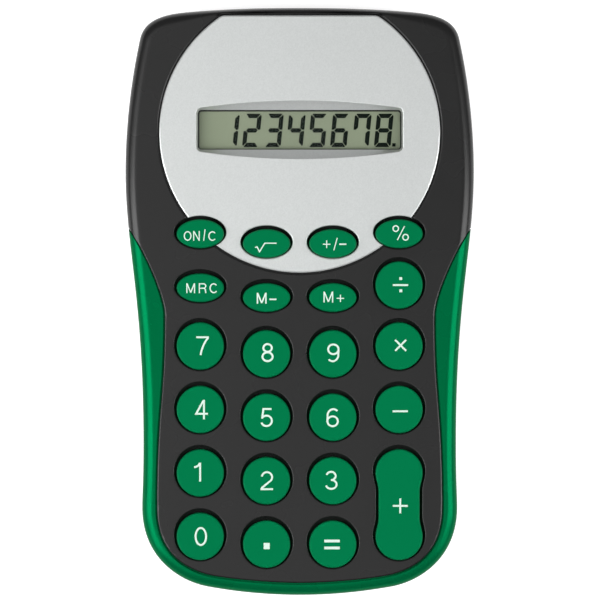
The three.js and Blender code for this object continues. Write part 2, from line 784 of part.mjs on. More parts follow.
// Battery door: a plate with a pad ring under the cell and two hooks that pass under the lip
function batteryDoor() {
  const plate = roundedBoxPoints(-doorHalfWidth, doorLowY, doorHalfWidth, doorHighY, doorCornerRadius);
  const padRadius = cellRadius * doorPadShare;
  const pad = disc(0, cellY, padRadius, doorTopZ - doorThickness / 2, doorTopZ + doorPadHeight)
    .subtract(disc(0, cellY, padRadius - doorPadWall, doorTopZ, cellTopZ));
  const rootY = doorLowY + hookSetback;
  const hooks = [-1, 1].flatMap((side) => {
    const x0 = side * hookSpacing / 2 - hookWidth / 2;
    const x1 = x0 + hookWidth;
    return [
      block(x0, rootY, x1, rootY + hookRoot, doorTopZ - doorThickness / 2, hookTopZ),
      block(x0, doorLowY - hookReach, x1, rootY + hookRoot, hookZ, hookTopZ)
    ];
  });
  return joined([prism(plate, doorZ, doorTopZ), pad, ...hooks]);
}

// Button cell: its can with bevelled edges and the smaller cap that faces the board
function buttonCell() {
  const capRadius = cellRadius * cellCapShare;
  const shoulderZ = cellTopZ - cellCapStep;
  const geometry = turned([
    [0, cellZ],
    [cellRadius - cellBevel, cellZ],
    [cellRadius, cellZ + cellBevel],
    [cellRadius, shoulderZ - cellBevel],
    [cellRadius - cellBevel, shoulderZ],
    [capRadius, shoulderZ],
    [capRadius, cellTopZ],
    [0, cellTopZ]
  ], roundSides);
  geometry.translate(0, cellY, 0);
  return toSolid(geometry);
}

const contactFootZ = boardTopZ + seatGap + contactThickness / 2;
const boardNotchRadius = bayRadius + bayWall;
const contactFootX = boardNotchRadius + contactFoot;

// Positive contact: soldered beside the notch, bent down through it along the can's side
function positiveContact() {
  return strip([
    new THREE.Vector2(-contactFootX, contactFootZ),
    new THREE.Vector2(-contactWallX, contactFootZ),
    new THREE.Vector2(-contactWallX, cellTopZ - contactTail)
  ], cellY - contactWidth / 2, cellY + contactWidth / 2);
}

// Negative contact: soldered on the other side, its finger sprung down on the cell's cap
function negativeContact() {
  const tipZ = cellTopZ + contactSpringGap + contactThickness / 2;
  return strip([
    new THREE.Vector2(contactFootX, contactFootZ),
    new THREE.Vector2(boardNotchRadius, contactFootZ),
    new THREE.Vector2(contactFinger, tipZ),
    new THREE.Vector2(-contactFinger, (tipZ + contactFootZ) / 2)
  ], cellY - contactWidth / 2, cellY + contactWidth / 2);
}

// What the front case and the cell take out of the board and the mat
function boardHoles(z0, z1) {
  const studs = studPlaces.map(([x, y]) => disc(x, y, studRadius + runningGap, z0, z1));
  return joined([
    screwDiscs(bossRadius + roomGap, z0, z1),
    disc(0, cellY, boardNotchRadius, z0, z1, roundSides),
    ...studs
  ]);
}

function circuitBoard() {
  const edge = halfLength - boardEndInset;
  const inset = sideDraft + sideWall + seamGap + tongueWall + roomGap;
  return block(-boardHalfWidth, -edge, boardHalfWidth, edge, boardZ, boardTopZ)
    .intersect(insidePrism(inset, boardZ, boardTopZ))
    .intersect(faceZonePrism(-seamGap - skirtWall - roomGap, boardZ, boardTopZ))
    .subtract(boardHoles(boardZ - cutOverrun, boardTopZ + cutOverrun));
}

// Keypad mat: a web with one hollow dome under each key and a contact pill inside each dome
function keypadMat() {
  const edge = halfLength - boardEndInset;
  const topY = clearY + functionKeyHeight / 2 + keyFlange + matTopMargin;
  const web = block(-boardHalfWidth, -edge, boardHalfWidth, topY, matZ, matTopZ)
    .intersect(faceZonePrism(-seamGap - skirtWall - roomGap, matZ, matTopZ))
    .subtract(boardHoles(matZ - cutOverrun, matTopZ + cutOverrun));
  const ceilingZ = domeTopZ - domeWall;
  const circle = (key, radius) => circlePoints(key.x, key.y, radius, domeSides);
  const domes = keys.map((key) => loft([
    { points: circle(key, domeBaseRadius), z: matZ },
    { points: circle(key, domeBaseRadius), z: matTopZ },
    { points: circle(key, domeTopRadius), z: domeTopZ }
  ]));
  const hollows = keys.map((key) => loft([
    { points: circle(key, domeBaseRadius - domeWall), z: matZ - cutOverrun },
    { points: circle(key, domeBaseRadius - domeWall), z: matZ },
    { points: circle(key, domeTopRadius - domeWall / 2), z: ceilingZ }
  ]));
  const pills = keys.map(({ x, y }) => (
    disc(x, y, pillRadius, ceilingZ - pillThickness, domeTopZ - seatGap, pillSides)
  ));
  return web.add(joined(domes)).subtract(joined(hollows)).add(joined(pills));
}

// Face plate: flush with the face, with cut-outs for the keys and the formed display well
function facePlate() {
  const lens = wellPoints(0);
  const opening = lensPoints(windowWidth / 2, windowHeight / 2, 0);
  const well = loft([
    { points: opening, z: wellBottomZ - cutOverrun },
    { points: opening, z: faceZ - wellDepth },
    { points: lens, z: faceZ },
    { points: lens, z: faceZ + cutOverrun }
  ]);
  return loft([
    { points: platePoints(0), z: plateFloorZ + seatGap },
    { points: platePoints(0), z: faceZ - plateBevel },
    { points: platePoints(-plateBevel), z: faceZ }
  ])
    .add(prism(wellPoints(wellWall), wellBottomZ, faceZ - plateThickness / 2))
    .subtract(well)
    .subtract(joined(keys.map(keyHole)));
}

// The window lies against the back of the well
const windowZ = wellBottomZ - seatGap - windowThickness;
const windowHalfSpan = windowWidth / 2 + windowLap;
const windowHalfRise = windowHeight / 2 + windowLap;

function displayWindow() {
  return prism(roundedBoxPoints(
    -windowHalfSpan, windowY - windowHalfRise, windowHalfSpan, windowY + windowHalfRise, windowLap / 2
  ), windowZ, windowZ + windowThickness);
}

// The display's glasses, from the reflector on the board up to the front polariser
const reflectorZ = boardTopZ + seatGap;
const rearGlassZ = reflectorZ + reflectorThickness;
const frontGlassZ = rearGlassZ + glassThickness;
const frontGlassTopZ = frontGlassZ + glassThickness;

function glassBlock(sideInset, lowInset, highInset, z0, z1) {
  return block(
    -glassHalfSpan + sideInset, windowY - glassHalfRise + lowInset,
    glassHalfSpan - sideInset, windowY + glassHalfRise - highInset,
    z0, z1
  );
}

function frontGlass() {
  const inset = polariserInset;
  const polariserZ = frontGlassTopZ + polariserThickness;
  return glassBlock(0, 0, 0, frontGlassZ, frontGlassTopZ)
    .add(glassBlock(inset, inset, inset, frontGlassZ, polariserZ));
}

// Contact strip between the board and the ledge of the front glass, past the rear glass
function connectorStrip() {
  const lowY = windowY - glassHalfRise + (glassLedge - connectorWidth) / 2;
  const halfSpan = glassHalfSpan - connectorInset;
  return block(
    -halfSpan, lowY, halfSpan, lowY + connectorWidth, boardTopZ + seatGap, frontGlassZ - seatGap
  );
}

// Display frame: walls round the glasses and a shelf over the front glass's rim
function displayFrame() {
  const shelfZ = frontGlassTopZ + seatGap;
  const frameTopZ = Math.min(wellBottomZ, frontInnerZ) - seatGap * 2;
  const opening = polariserInset - runningGap;
  return glassBlock(-frameReach, -frameReach, -frameReach, boardTopZ + seatGap, frameTopZ)
    .subtract(glassBlock(-runningGap, -runningGap, -runningGap, boardTopZ - cutOverrun, shelfZ))
    .subtract(glassBlock(opening, opening, opening, boardTopZ, faceZ));
}

// Epoxy blob over the bare chip on the back of the board
const chipY = windowY - chipDrop;

function chipCover() {
  const profile = [[0, -chipHeight]];
  for (let step = 1; step <= edgeSteps; step += 1) {
    const angle = Math.PI / 2 * step / edgeSteps;
    profile.push([chipRadius * Math.sin(angle), -chipHeight * Math.cos(angle)]);
  }
  profile.push([0, 0]);
  const geometry = turned(profile, roundSides);
  geometry.translate(0, chipY, boardZ - seatGap);
  return toSolid(geometry);
}

// Small parts lying on the back of the board, turned along their own axes
function capacitor() {
  const geometry = turned([
    [0, -capacitorLength / 2],
    [capacitorRadius, -capacitorLength / 2],
    [capacitorRadius, capacitorLength / 2],
    [0, capacitorLength / 2]
  ], smallSides);
  geometry.rotateY(Math.PI / 2);
  geometry.translate(capacitorOffset, chipY, boardZ - seatGap - capacitorRadius);
  return toSolid(geometry);
}

function resistor() {
  const end = resistorLength / 2;
  const cap = end / 2;
  const waist = resistorRadius * resistorWaistShare;
  const geometry = turned([
    [0, -end], [resistorRadius, -end], [resistorRadius, -cap], [waist, -cap + seatGap],
    [waist, cap - seatGap], [resistorRadius, cap], [resistorRadius, end], [0, end]
  ], smallSides);
  geometry.rotateX(Math.PI / 2);
  geometry.translate(-resistorOffset, chipY, boardZ - seatGap - resistorRadius);
  return toSolid(geometry);
}

// Self-tapping screw about its own axis: a pan head with a crossed recess, then its shank and tip
function caseScrew() {
  const bearingZ = screwSeatZ - seatGap;
  const headZ = bearingZ - screwHeadHeight;
  const pointZ = bearingZ + screwLength;
  const body = toSolid(turned([
    [0, headZ],
    [screwHeadRadius - screwHeadCrown, headZ],
    [screwHeadRadius, headZ + screwHeadCrown],
    [screwHeadRadius, bearingZ],
    [screwShankRadius, bearingZ],
    [screwShankRadius, pointZ - screwTip],
    [0, pointZ]
  ], smallSides));
  const half = screwSlotWidth / 2;
  const reach = screwHeadRadius - screwHeadCrown;
  const slotTopZ = headZ + screwSlotDepth;
  return body
    .subtract(block(-reach, -half, reach, half, headZ - cutOverrun, slotTopZ))
    .subtract(block(-half, -reach, half, reach, headZ - cutOverrun, slotTopZ));
}

function finish(color, roughness, metalness = 0) {
  return new THREE.MeshStandardMaterial({ color, roughness, metalness, flatShading: true });
}

const blackPlastic = finish('#363638', 0.5);
const greenPlastic = finish('#047a49', 0.35);
const greenKey = finish('#03804c', 0.4);
const silverPlastic = finish('#d6d8d7', 0.35, 0.3);
const clearPlastic = new THREE.MeshStandardMaterial({
  color: '#e8f0ea', roughness: 0.05, transparent: true, opacity: 0.3
});
const displayGlass = finish('#93a083', 0.2);
const foil = finish('#b9bfb4', 0.4, 0.6);
const greyPlastic = finish('#8b8d8c', 0.6);
const siliconeRubber = finish('#3c3d3e', 0.8);
const fibreBoard = finish('#2f6b3c', 0.5);
const epoxy = finish('#151515', 0.4);
const nickel = finish('#b5b3ad', 0.3, 0.9);
const steel = finish('#8d8e90', 0.35, 0.9);
const ceramic = finish('#b8863f', 0.6);
const lacquer = finish('#c9b58a', 0.5);

// A named mesh of a finished solid, placed at a point
function part(name, solid, material, x = 0, y = 0) {
  const cut = solid.getMesh();
  const geometry = new THREE.BufferGeometry();
  geometry.setAttribute('position', new THREE.BufferAttribute(cut.vertProperties, cut.numProp));
  geometry.setIndex(new THREE.BufferAttribute(cut.triVerts, 1));
  geometry.computeVertexNormals();
  const mesh = new THREE.Mesh(geometry, material);
  mesh.name = name;
  mesh.position.set(x, y, 0);
  return mesh;
}

const housing = new THREE.Group();
housing.add(
  part('front_case', frontCase(), blackPlastic),
  part('rear_case', rearCase(), blackPlastic),
  part('side_grip', sideGrip(), greenPlastic),
  part('face_plate', facePlate(), silverPlastic),
  part('battery_door', batteryDoor(), blackPlastic)
);
const screwBody = caseScrew();
screwPlaces.forEach(([x, y], index) => {
  housing.add(part(`case_screw_${index + 1}`, screwBody, steel, x, y));
});

const display = new THREE.Group();
display.add(
  part('display_window', displayWindow(), clearPlastic),
  part('lcd_front_glass', frontGlass(), displayGlass),
  part('lcd_rear_glass', glassBlock(0, glassLedge, 0, rearGlassZ + seatGap, frontGlassZ), displayGlass),
  part('lcd_reflector', glassBlock(0, glassLedge, 0, reflectorZ, rearGlassZ), foil),
  part('lcd_frame', displayFrame(), greyPlastic),
  part('lcd_connector_strip', connectorStrip(), siliconeRubber)
);

const electronics = new THREE.Group();
electronics.add(
  part('circuit_board', circuitBoard(), fibreBoard),
  part('chip_cover', chipCover(), epoxy),
  part('capacitor', capacitor(), ceramic),
  part('resistor', resistor(), lacquer),
  part('battery_cell', buttonCell(), nickel),
  part('battery_contact_positive', positiveContact(), nickel),
  part('battery_contact_negative', negativeContact(), nickel)
);

const keypad = new THREE.Group();
keypad.add(part('keypad_mat', keypadMat(), siliconeRubber));
const caps = { round: keyCap('round'), oval: keyCap('oval'), bar: keyCap('bar') };
for (const { name, kind, x, y } of keys) {
  keypad.add(part(name, caps[kind], greenKey, x, y));
}

const calculator = new THREE.Group();
calculator.add(housing, display, electronics, keypad);

export default calculator;
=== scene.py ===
import math

import bmesh
import bpy
import numpy as np
from mathutils.geometry import delaunay_2d_cdt
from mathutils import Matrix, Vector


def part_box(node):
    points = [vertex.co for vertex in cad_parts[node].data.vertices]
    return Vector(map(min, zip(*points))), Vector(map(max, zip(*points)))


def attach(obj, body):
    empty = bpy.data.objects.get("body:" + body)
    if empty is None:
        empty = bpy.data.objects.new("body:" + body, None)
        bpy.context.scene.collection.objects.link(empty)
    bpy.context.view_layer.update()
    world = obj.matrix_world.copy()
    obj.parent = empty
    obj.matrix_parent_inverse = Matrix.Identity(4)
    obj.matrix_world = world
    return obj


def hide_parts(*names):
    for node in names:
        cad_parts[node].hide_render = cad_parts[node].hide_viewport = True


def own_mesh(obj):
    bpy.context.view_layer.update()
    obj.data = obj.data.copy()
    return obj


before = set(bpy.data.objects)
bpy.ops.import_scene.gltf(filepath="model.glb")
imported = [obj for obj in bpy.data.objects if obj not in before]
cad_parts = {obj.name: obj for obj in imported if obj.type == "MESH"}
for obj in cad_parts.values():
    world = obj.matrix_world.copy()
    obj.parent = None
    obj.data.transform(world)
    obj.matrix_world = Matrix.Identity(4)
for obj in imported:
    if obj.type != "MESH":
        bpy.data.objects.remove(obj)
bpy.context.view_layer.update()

# Rear case
# The back half of the housing is injection moulded in black ABS with a spark-eroded texture. It is
# an open tray with screw posts, foot pips, a bay for the cell and a pocket for the battery door.

# Lengths in this file are in millimetres, and become metres when a piece is put in place
MM = 0.001
# Faces that meet at more than this angle have a sharp edge between them
CREASE = math.radians(28)


def node_box(name):
    """The lowest and highest corners of a CAD node, in millimetres."""
    return [np.array(corner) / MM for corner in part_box(name)]


def cubic_chain(controls, count):
    """Points on cubic curves that share end points: each is a sum of the curve's four controls,
    weighted by the Bernstein cubics of a share that runs from 0 to 1 along the curve."""
    share = np.linspace(0, 1, count + 1)[:-1, None]
    rest = 1 - share
    weights = np.hstack([rest**3, 3 * share * rest**2, 3 * share**2 * rest, share**3])
    curves = [weights @ controls[first:first + 4] for first in range(0, len(controls) - 1, 3)]
    return np.vstack(curves + [controls[-1:]])


def evened(path, count):
    """The same open path as points an equal distance apart, read off along its summed length."""
    steps = np.hypot(*np.diff(path, axis=0).T)
    along = np.append(0, np.cumsum(steps))
    places = np.linspace(0, along[-1], count)
    return np.column_stack([np.interp(places, along, axis) for axis in path.T])


def both_sides(half):
    """Closes a right half that runs from the top middle to the bottom middle with its mirror
    image in x, and turns the whole loop anticlockwise."""
    return np.vstack([half[::-1], half[1:-1] * (-1, 1)])


def rightward(steps):
    """Unit vectors a quarter turn to the right of some steps."""
    normals = np.column_stack([steps[:, 1], -steps[:, 0]])
    return normals / np.linalg.norm(normals, axis=1, keepdims=True)


def outward(loop):
    """Unit normals of a closed anticlockwise loop, to the right of the step between the two
    neighbours of each point."""
    return rightward(np.roll(loop, -1, axis=0) - np.roll(loop, 1, axis=0))


def sheet(points, closed=True):
    """Rows of equally many points as a surface: its points, and a quad between each two that
    follow one another in a row and the two next to them in the row after it."""
    rows, columns = points.shape[:2]
    first = np.arange(rows - 1)[:, None] * columns
    here = first + np.arange(columns if closed else columns - 1)
    following = first + (np.arange(here.shape[1]) + 1) % columns
    quads = np.stack([here, following, following + columns, here + columns], axis=-1)
    return points.reshape(-1, 3), quads.reshape(-1, 4)


def rings(loops, heights):
    """A surface through loops of equally many points, each at its height. It faces outwards where
    the heights rise and inwards where they fall."""
    columns = len(loops[0])
    return sheet(np.dstack([np.array(loops), np.repeat(np.array(heights)[:, None], columns, axis=1)]))


def carried(loop, profile):
    """A profile carried round a loop: each of its rows, a distance in from the loop and a height,
    gives one ring, moved in by that distance along the loop's normals."""
    normals = outward(loop)
    return rings([loop - inset * normals for inset, _ in profile], [height for _, height in profile])


def circle(x, y, radius, count=64):
    """A circle's points, anticlockwise: the centre plus the radius times cosine and sine."""
    turn = 2 * np.pi * np.arange(count) / count
    return np.column_stack([x + radius * np.cos(turn), y + radius * np.sin(turn)])


def circles(places, radius):
    """The same circle at each of some places."""
    return [circle(x, y, radius) for x, y in places]


def at_height(plan, height):
    """The points of a plan, all at one height."""
    return np.column_stack([plan, np.full(len(plan), height)])


def turned(x, y, profile, count=64):
    """A profile of radius and height pairs turned about an upright axis."""
    return rings([circle(x, y, radius, count) for radius, _ in profile], [height for _, height in profile])


def flat(loops, height, up=True):
    """The flat face between loops at one height: a constrained triangulation of all the loops, of
    which the triangles stay whose middle lies inside an odd number of loops."""
    points = np.vstack(loops)
    sizes = [len(loop) for loop in loops]
    starts = np.cumsum([0] + sizes[:-1])
    edges = np.vstack([
        np.column_stack([start + np.arange(size), start + np.roll(np.arange(size), -1)])
        for start, size in zip(starts, sizes)
    ])
    made = delaunay_2d_cdt(points.tolist(), edges.tolist(), [], 0, 1e-7)
    plan = np.array([tuple(point) for point in made[0]])
    faces = np.array(made[2])
    x, y = plan[faces].mean(axis=1).T
    from_x, from_y = points[edges[:, 0]].T[:, :, None]
    to_x, to_y = points[edges[:, 1]].T[:, :, None]
    spans = (from_y > y) != (to_y > y)
    rise = np.where(to_y == from_y, 1, to_y - from_y)
    crossed = spans & (x < from_x + (y - from_y) * (to_x - from_x) / rise)
    faces = faces[crossed.sum(axis=0) % 2 == 1]
    a, b, c = plan[faces].transpose(1, 0, 2)
    area = (b - a)[:, 0] * (c - a)[:, 1] - (b - a)[:, 1] * (c - a)[:, 0]
    wrong = (area > 0) != up
    faces[wrong] = faces[wrong][:, ::-1]
    return at_height(plan, height), faces


def linked(name, data):
    """A new object of the scene that holds some data."""
    made = bpy.data.objects.new(name, data)
    bpy.context.scene.collection.objects.link(made)
    return made


def joined(name, surfaces, material):
    """One mesh of a material from the points and faces of several surfaces."""
    mesh = bpy.data.meshes.new(name)
    points, faces, count = [], [], 0
    for surface_points, surface_faces in surfaces:
        points.append(surface_points)
        faces += (np.array(surface_faces) + count).tolist()
        count += len(surface_points)
    mesh.from_pydata((np.vstack(points) * MM).tolist(), [], faces)
    mesh.materials.append(material)
    return mesh


def piece(name, surfaces, material, body="calculator", replaces=()):
    """Puts surfaces together as one mesh object of the frame. Doubles within a thousandth of a
    millimetre are merged, and edges sharper than the crease angle stay sharp."""
    mesh = joined(name, surfaces, material)
    clean = bmesh.new()
    clean.from_mesh(mesh)
    bmesh.ops.remove_doubles(clean, verts=clean.verts, dist=0.001 * MM)
    bmesh.ops.dissolve_degenerate(clean, edges=clean.edges, dist=0.0005 * MM)
    clean.to_mesh(mesh)
    clean.free()
    mesh.polygons.foreach_set("use_smooth", np.ones(len(mesh.polygons), bool))
    mesh.set_sharp_from_angle(angle=CREASE)
    made = linked(name, mesh)
    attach(made, body)
    if replaces:
        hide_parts(*replaces)
    return made


def linear(colour):
    """An sRGB hex value as linear red, green and blue with full alpha: each channel over 0.04045
    is raised to the power 2.4 after the standard offset, and a lower one is divided by 12.92."""
    channels = np.array([int(colour[first:first + 2], 16) for first in (1, 3, 5)]) / 255
    low = channels / 12.92
    high = ((channels + 0.055) / 1.055) ** 2.4
    return (*np.where(channels > 0.04045, high, low), 1)


def add(tree, kind, sockets, **settings):
    """Adds a node of a kind with its settings, and sets or links each socket that is named. A
    node given for a socket is linked by its first output."""
    node = tree.nodes.new("ShaderNode" + kind)
    for name, value in settings.items():
        setattr(node, name, value)
    for name, value in sockets.items():
        if isinstance(value, bpy.types.Node):
            value = value.outputs[0]
        if isinstance(value, bpy.types.NodeSocket):
            tree.links.new(value, node.inputs[name])
        else:
            node.inputs[name].default_value = value
    return node


def new_material(name):
    """An empty node material, its tree and the object's coordinates in it."""
    material = bpy.data.materials.new(name)
    material.use_nodes = True
    material.node_tree.nodes.clear()
    return material, material.node_tree, add(material.node_tree, "TexCoord", {}).outputs["Object"]


def moulded(name, pale, dark, roughness, grain, relief, gloss=0.5, sheen="#ffffff", pearl=0.0):
    """Moulded plastic: a slow cloud of two near colours with features of 14 mm, a fine grain of a
    size in millimetres that lifts the surface by a relief in millimetres, and a roughness that
    follows the cloud. A pearl share of it reflects in its own colour, as a lacquer with mica
    flakes does."""
    material, tree, place = new_material(name)
    cloud = add(tree, "TexNoise", {"Vector": place, "Scale": 1 / (14 * MM), "Detail": 3})
    tint = add(tree, "MixRGB", {"Fac": cloud, "Color1": linear(dark), "Color2": linear(pale)})
    shine = add(tree, "MapRange", {
        "Value": cloud, "From Min": 0.3, "From Max": 0.7,
        "To Min": roughness - 0.02, "To Max": roughness + 0.02})
    pits = add(tree, "TexNoise", {"Vector": place, "Scale": 1 / (grain * MM), "Detail": 2, "Roughness": 0.6})
    bump = add(tree, "Bump", {"Height": pits, "Distance": relief * MM})
    shader = add(tree, "BsdfPrincipled", {
        "Base Color": tint, "Roughness": shine, "Metallic": pearl, "Specular IOR Level": gloss,
        "Specular Tint": linear(sheen), "Normal": bump})
    add(tree, "OutputMaterial", {"Surface": shader})
    return material


# Textured ABS: near black, satin, with the fine even grain that an eroded mould leaves. The grain
# is drawn at 0.35 mm, coarser than the real 0.1 mm, so that it shows
textured_abs = moulded("textured_black_abs", "#1e1e1e", "#1c1c1c", 0.27, 0.35, 0.006, gloss=0.31)

half_width, half_length, face_z = node_box("front_case")[1]
parting_z = node_box("front_case")[0][2]
parting_bevel = 0.12
side_draft = 0.25
back_z = 0.5
rear_edge_radius = 2.6
case_wall = 1.6
rear_floor_z = 2.0

# The right half of the case's outline, from the top middle to the bottom middle, as cubic curves:
# a start, then two handles and an end for each, in shares of half the width and half the length
outline_shares = np.array([
    (0, 1),
    (0.153, 1), (0.408, 0.999), (0.666, 0.984),
    (0.782, 0.977), (0.892, 0.959), (0.916, 0.895),
    (0.965, 0.764), (1, 0.603), (1, 0.442),
    (1, 0.18), (0.897, 0.021), (0.897, -0.483),
    (0.897, -0.619), (0.904, -0.658), (0.904, -0.702),
    (0.904, -0.875), (0.687, -0.955), (0.523, -0.972),
    (0.417, -0.983), (0.234, -1), (0, -1),
])
half_outline = evened(cubic_chain(outline_shares * (half_width, half_length), 60), 361)
outline = both_sides(half_outline)


def rounded(radius, top, count):
    """The round of an upper edge as rows of a distance in and a height, from the side to the top:
    the radius times one less the cosine, and the radius times one less the sine below the top."""
    turn = np.linspace(0, np.pi / 2, count)
    return list(zip(radius * (1 - np.cos(turn)), top - radius * (1 - np.sin(turn))))


# Up the outside from the flat back, over the rim and down the inside to the tray's floor
inner_wall = side_draft + case_wall
rim_flat = 0.3
rear_profile = [(side_draft + rear_edge_radius + rim_flat, back_z)]
rear_profile += [
    (side_draft + inset, back_z - height) for inset, height in rounded(rear_edge_radius, 0, 13)[::-1]]
rear_profile += [
    (side_draft, parting_z - parting_bevel), (side_draft + parting_bevel, parting_z),
    (inner_wall, parting_z), (inner_wall, rear_floor_z),
]
rear_surfaces = [carried(outline, rear_profile)]
back_rim = outline - rear_profile[0][0] * outward(outline)
floor_rim = outline - inner_wall * outward(outline)

# Screw posts with counterbores from the back, at the places of the CAD screws
screw_names = [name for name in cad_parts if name.startswith("case_screw_")]
screw_places = [np.mean(node_box(name), axis=0)[:2] for name in screw_names]
screw_seat_z, post_top_z = 3.25, 4.75
post_radius, shank_hole, counterbore, counterbore_mouth = 2.8, 1.25, 2.2, 2.32
post_profile = [
    (post_radius, rear_floor_z), (post_radius, post_top_z), (shank_hole, post_top_z),
    (shank_hole, screw_seat_z), (counterbore, screw_seat_z),
    (counterbore, back_z + counterbore_mouth - counterbore), (counterbore_mouth, back_z),
]
rear_surfaces += [turned(x, y, post_profile) for x, y in screw_places]

# Foot pips with softly rounded ends
foot_shares = [(0.7, 0.69), (-0.7, 0.69), (0.66, -0.77), (-0.66, -0.77)]
foot_places = np.array(foot_shares) * (half_width, half_length)
foot_radius = 2
foot_profile = [(0, 0), (1.6, 0), (1.85, 0.05), (1.97, 0.16), (foot_radius, 0.3), (foot_radius, back_z)]
rear_surfaces += [turned(x, y, foot_profile) for x, y in foot_places]

# The door's pocket, opened at its latch edge by a finger notch, and the cell's bay above it
door_low, door_high = node_box("battery_door")
cell_low, cell_high = node_box("battery_cell")
cell_y = (cell_low + cell_high)[1] / 2
hook_reach = 1.3
door_gap = 0.2
door_low_y = door_low[1] + hook_reach
pocket_z, notch_z, notch_radius = 1.65, 0.9, 2.2
bay_radius = (cell_high - cell_low)[0] / 2 + 0.3
bay_wall, bay_top_z = 1.0, 4.9


def rounded_box(x, y, half_x, half_y, radius, corner=8, side=12):
    """A rectangle with round corners, anticlockwise from its bottom side: four straight sides
    and four quarter circles, each as evenly spaced points."""
    path = []
    for quarter, (sign_x, sign_y) in enumerate([(1, -1), (1, 1), (-1, 1), (-1, -1)]):
        turn = (quarter - 1 + np.linspace(0, 1, corner)) * np.pi / 2
        centre = (x + sign_x * (half_x - radius), y + sign_y * (half_y - radius))
        path.append(centre + radius * np.column_stack([np.cos(turn), np.sin(turn)]))
    parts = []
    for bend_points, after in zip(path, path[1:] + path[:1]):
        parts += [bend_points, np.linspace(bend_points[-1], after[0], side)[1:-1]]
    return np.vstack(parts)


def crossing(path, x, y, radius_x, radius_y):
    """Where an open path goes into an ellipse and out of it. Returns the path before, inside and
    after, and the ellipse's arc to the right of the path and to its left. Each crossing lies
    between two points, by the share at which the ellipse's own measure passes 1."""
    centre, radii = np.array((x, y)), np.array((radius_x, radius_y))
    measure = np.hypot(*((path - centre) / radii).T) - 1
    enters = np.flatnonzero((measure[:-1] > 0) & (measure[1:] <= 0))[0]
    leaves = np.flatnonzero((measure[:-1] <= 0) & (measure[1:] > 0))[0]
    ends = []
    for index in (enters, leaves):
        share = measure[index] / (measure[index] - measure[index + 1])
        ends.append(path[index] + share * (path[index + 1] - path[index]))
    turns = [np.arctan2(*((end - centre) / radii)[::-1]) for end in ends]
    right_turn = (turns[1] - turns[0]) % (2 * np.pi)
    share = np.linspace(0, 1, 61)
    arcs = [turns[0] + right_turn * share, turns[0] - (2 * np.pi - right_turn) * share]
    right, left = [centre + radii * np.column_stack([np.cos(arc), np.sin(arc)]) for arc in arcs]
    return (
        np.vstack([path[:enters + 1], ends[:1]]),
        np.vstack([ends[:1], path[enters + 1:leaves + 1], ends[1:]]),
        np.vstack([ends[1:], path[leaves + 1:]]), right, left,
    )


pocket_y = (door_low_y + door_high[1]) / 2
pocket_half = (door_high[0] + door_gap, (door_high[1] - door_low_y) / 2 + door_gap)
pocket_path = rounded_box(0, pocket_y, *pocket_half, 0.4)
pocket_path = np.vstack([pocket_path, pocket_path[:1]])
notch = crossing(pocket_path, 0, door_high[1] + door_gap, notch_radius, notch_radius)
pocket = np.vstack([notch[0], evened(notch[1], 20)[1:-1], notch[2][:-1]])
notched_pocket = np.vstack([notch[0], evened(notch[3], 30)[1:-1], notch[2][:-1]])
rear_surfaces += [
    rings([notched_pocket, notched_pocket], [notch_z, back_z]),
    flat([notched_pocket, pocket], notch_z, up=False),
    rings([pocket, pocket], [pocket_z, notch_z]),
    flat([pocket, circle(0, cell_y, bay_radius)], pocket_z, up=False),
    turned(0, cell_y, [(bay_radius + bay_wall, rear_floor_z), (bay_radius + bay_wall, bay_top_z),
                       (bay_radius, bay_top_z), (bay_radius, pocket_z)]),
    flat([back_rim, notched_pocket] + circles(screw_places, counterbore_mouth)
         + circles(foot_places, foot_radius), back_z, up=False),
    flat([floor_rim, circle(0, cell_y, bay_radius + bay_wall)] + circles(screw_places, post_radius),
         rear_floor_z),
]
piece("rear_case_shell", rear_surfaces, textured_abs, replaces=["rear_case"])

# Battery door
# A flush lid moulded in the same ABS. A ring on its inside presses the cell, two hooks pass under
# the case's lip at its lower edge, and it snaps shut at the finger notch.


def capped(loop, profile):
    """A profile carried round a loop, closed by flat faces at its two ends."""
    low, high = [loop - inset * outward(loop) for inset, _ in (profile[0], profile[-1])]
    return [carried(loop, profile), flat([low], profile[0][1], up=False), flat([high], profile[-1][1])]


door_z, door_top_z = door_low[2], 1.6
door_half = (door_high[0], (door_high[1] - door_low_y) / 2)
door_loop = rounded_box(0, pocket_y, *door_half, 1.2)
door_profile = [(0.6, door_z), (0.25, door_z), (0.07, door_z + 0.06), (0, door_z + 0.2), (0, door_top_z)]
pad_radius, pad_wall, pad_z = 4.64, 1.2, 2.05
door_surfaces = [
    carried(door_loop, door_profile),
    flat([door_loop - door_profile[0][0] * outward(door_loop)], door_z, up=False),
    flat([door_loop, circle(0, cell_y, pad_radius)], door_top_z),
    turned(0, cell_y, [(pad_radius, door_top_z), (pad_radius, pad_z - 0.1), (pad_radius - 0.1, pad_z),
                       (pad_radius - pad_wall, pad_z), (pad_radius - pad_wall, door_top_z), (0, door_top_z)]),
]
hook_z, hook_top_z, hook_edge = 1.7, door_high[2], 0.1
hook_half, hook_root, root_middle = 1.5, 1.2, 0.75
for hook_x in (-6, 6):
    root = rounded_box(hook_x, door_low_y + root_middle, hook_half, hook_root - root_middle, 0.15)
    tongue_half = (hook_root + hook_reach) / 2
    tongue = rounded_box(hook_x, door_low_y + hook_root - tongue_half, hook_half, tongue_half, 0.3)
    door_surfaces += capped(root, [(0, door_top_z - 0.3), (0, hook_top_z - hook_edge)])
    door_surfaces += capped(tongue, [
        (hook_edge, hook_z), (0, hook_z + hook_edge), (0, hook_top_z - hook_edge), (hook_edge, hook_top_z)])
piece("battery_door_lid", door_surfaces, textured_abs, "battery_door", ["battery_door"])

# Button cell and contacts
# The cell is a drawn stainless can. Its contacts are bent from nickel-plated spring strip and
# soldered to the board on either side of the bay.


